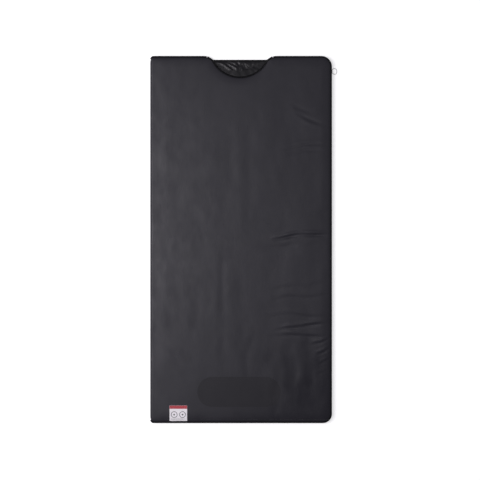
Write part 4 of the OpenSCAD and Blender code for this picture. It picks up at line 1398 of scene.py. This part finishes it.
housing_plastic = moulded("inlet_housing_plastic", (0.011, 0.011, 0.012),
                          (0.016, 0.016, 0.018), 0.45)
housing = softened("socket_housing", "socket_housing_moulding", 0.0005, housing_plastic)
coat_node("socket_sleeve", cast_metal("plated_sleeve", (0.50, 0.50, 0.50),
                                      (0.62, 0.61, 0.60), 0.22, 0.5))
coat_node("socket_insulator", moulded("heat_proof_plastic", (0.55, 0.52, 0.46),
                                      (0.62, 0.59, 0.52), 0.5))
coat_node("socket_pins", cast_metal("gold_plated_contact", (0.80, 0.58, 0.25),
                                    (0.86, 0.68, 0.36), 0.2, 0.5))
coat_node("socket_screws", cast_metal("plated_screw", (0.42, 0.42, 0.43),
                                      (0.55, 0.55, 0.55), 0.28, 0.5))


# ---- Heating parts inside ----
# Foil, felt, heating cable, leads and sensors lie sealed between wadding and liner. The
# leads that cross the fold are bent half round it.

def felt_material(name, dark, light):
    material, tree, shader = material_nodes(name)
    place = add_place(tree)
    fibres = add_noise(tree, place, 380, 6.0, 0.7)
    tree.links.new(add_blend(tree, fibres, dark, light), shader.inputs["Base Color"])
    shader.inputs["Roughness"].default_value = 0.95
    shader.inputs["Sheen Weight"].default_value = 0.3
    add_bumps(tree, shader, ((fibres, 0.0006, 0.6),))
    return material


heater_felt = felt_material("heater_felt", (0.26, 0.24, 0.21), (0.36, 0.34, 0.30))
reflector_foil = cast_metal("reflector_foil", (0.78, 0.79, 0.80), (0.86, 0.86, 0.87),
                            0.12, 0.5)
cable_rubber = moulded("cable_rubber", (0.38, 0.09, 0.05), (0.46, 0.12, 0.07), 0.42)
lead_rubber = moulded("lead_rubber", (0.24, 0.04, 0.03), (0.30, 0.055, 0.04), 0.42)
sensor_resin = moulded("sensor_resin", (0.03, 0.07, 0.14), (0.045, 0.09, 0.17), 0.25)
cutout_plastic = moulded("cutout_plastic", (0.66, 0.66, 0.64), (0.74, 0.74, 0.71), 0.4)
for body in ("mat", "cover"):
    coat_node(body + "_heat_reflector", reflector_foil)
    coat_node(body + "_heater_felt", heater_felt)
    coat_node(body + "_heating_wire", cable_rubber)
    coat_node(body + "_leads", lead_rubber)
    coat_node(body + "_thermistor", sensor_resin)
    coat_node(body + "_thermal_cutout", cutout_plastic)

lead_low, lead_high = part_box("crossover_leads")
LEAD_RADIUS = 0.0009
lead_turn = MID_Z - (lead_low.z + LEAD_RADIUS)
lead_first, lead_last = lead_low.y + LEAD_RADIUS, lead_high.y - LEAD_RADIUS
lead_lanes = [lead_first + (lead_last - lead_first) * lane / 2 for lane in range(3)]
crossing = add_piece("crossover_lead_turns", *join_parts(
    [flat_tube(half_turn(lead_turn, lead_y, lambda turn: lead_y), LEAD_RADIUS, 8)
     for lead_y in lead_lanes]), [lead_rubber])
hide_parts("crossover_leads")
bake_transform(crossing)


# ---- Studio ----
# A plain white floor, a broad soft light from the left and a weak one from the right,
# an even surround, and a camera straight above the middle of the blanket.

def floor_material():
    material, _, shader = material_nodes("studio_floor")
    shader.inputs["Base Color"].default_value = (0.92, 0.92, 0.92, 1)
    shader.inputs["Roughness"].default_value = 0.9
    shader.inputs["Emission Color"].default_value = (1, 1, 1, 1)
    shader.inputs["Emission Strength"].default_value = 0.55
    return material


FLOOR_HALF = 9.0
FLOOR_Z = -0.0002
floor = add_piece("studio_floor", [(FLOOR_HALF * i, FLOOR_HALF * j, FLOOR_Z) for i, j
                                   in ((-1, -1), (1, -1), (1, 1), (-1, 1))],
                  [(0, 1, 2, 3)], [floor_material()])


LAMP_COLOUR = (1, 0.965, 1.02)


def area_light(name, place, size, power):
    lamp = bpy.data.lights.new(name, "AREA")
    lamp.color = LAMP_COLOUR
    lamp.shape = "RECTANGLE"
    lamp.size, lamp.size_y = size
    lamp.energy = power
    holder = bpy.data.objects.new(name, lamp)
    holder.location = place
    holder.rotation_mode = "QUATERNION"
    holder.rotation_quaternion = (-Vector(place)).to_track_quat("-Z", "Y")
    bpy.context.scene.collection.objects.link(holder)


area_light("key_softbox", (-2.2, 0.1, 3.8), (2.2, 3.6), 127)
area_light("fill_softbox", (2.4, 0.6, 4.6), (3.0, 3.0), 5)

world = bpy.data.worlds.new("surround")
world.use_nodes = True
background = world.node_tree.nodes["Background"]
background.inputs["Color"].default_value = (0.94, 0.93, 1, 1)
background.inputs["Strength"].default_value = 0.22
bpy.context.scene.world = world
bpy.context.scene.view_settings.view_transform = "Standard"

VIEW_WIDTH = 2.354
VIEW_CENTRE = (-0.0049, -0.0022, 0.025)
camera_data = bpy.data.cameras.new("camera")
camera_data.lens = 85
camera_data.sensor_width = 36
camera = bpy.data.objects.new("camera", camera_data)
distance = VIEW_WIDTH * camera_data.lens / camera_data.sensor_width
camera.location = (VIEW_CENTRE[0], VIEW_CENTRE[1], VIEW_CENTRE[2] + distance)
bpy.context.scene.collection.objects.link(camera)
bpy.context.scene.camera = camera
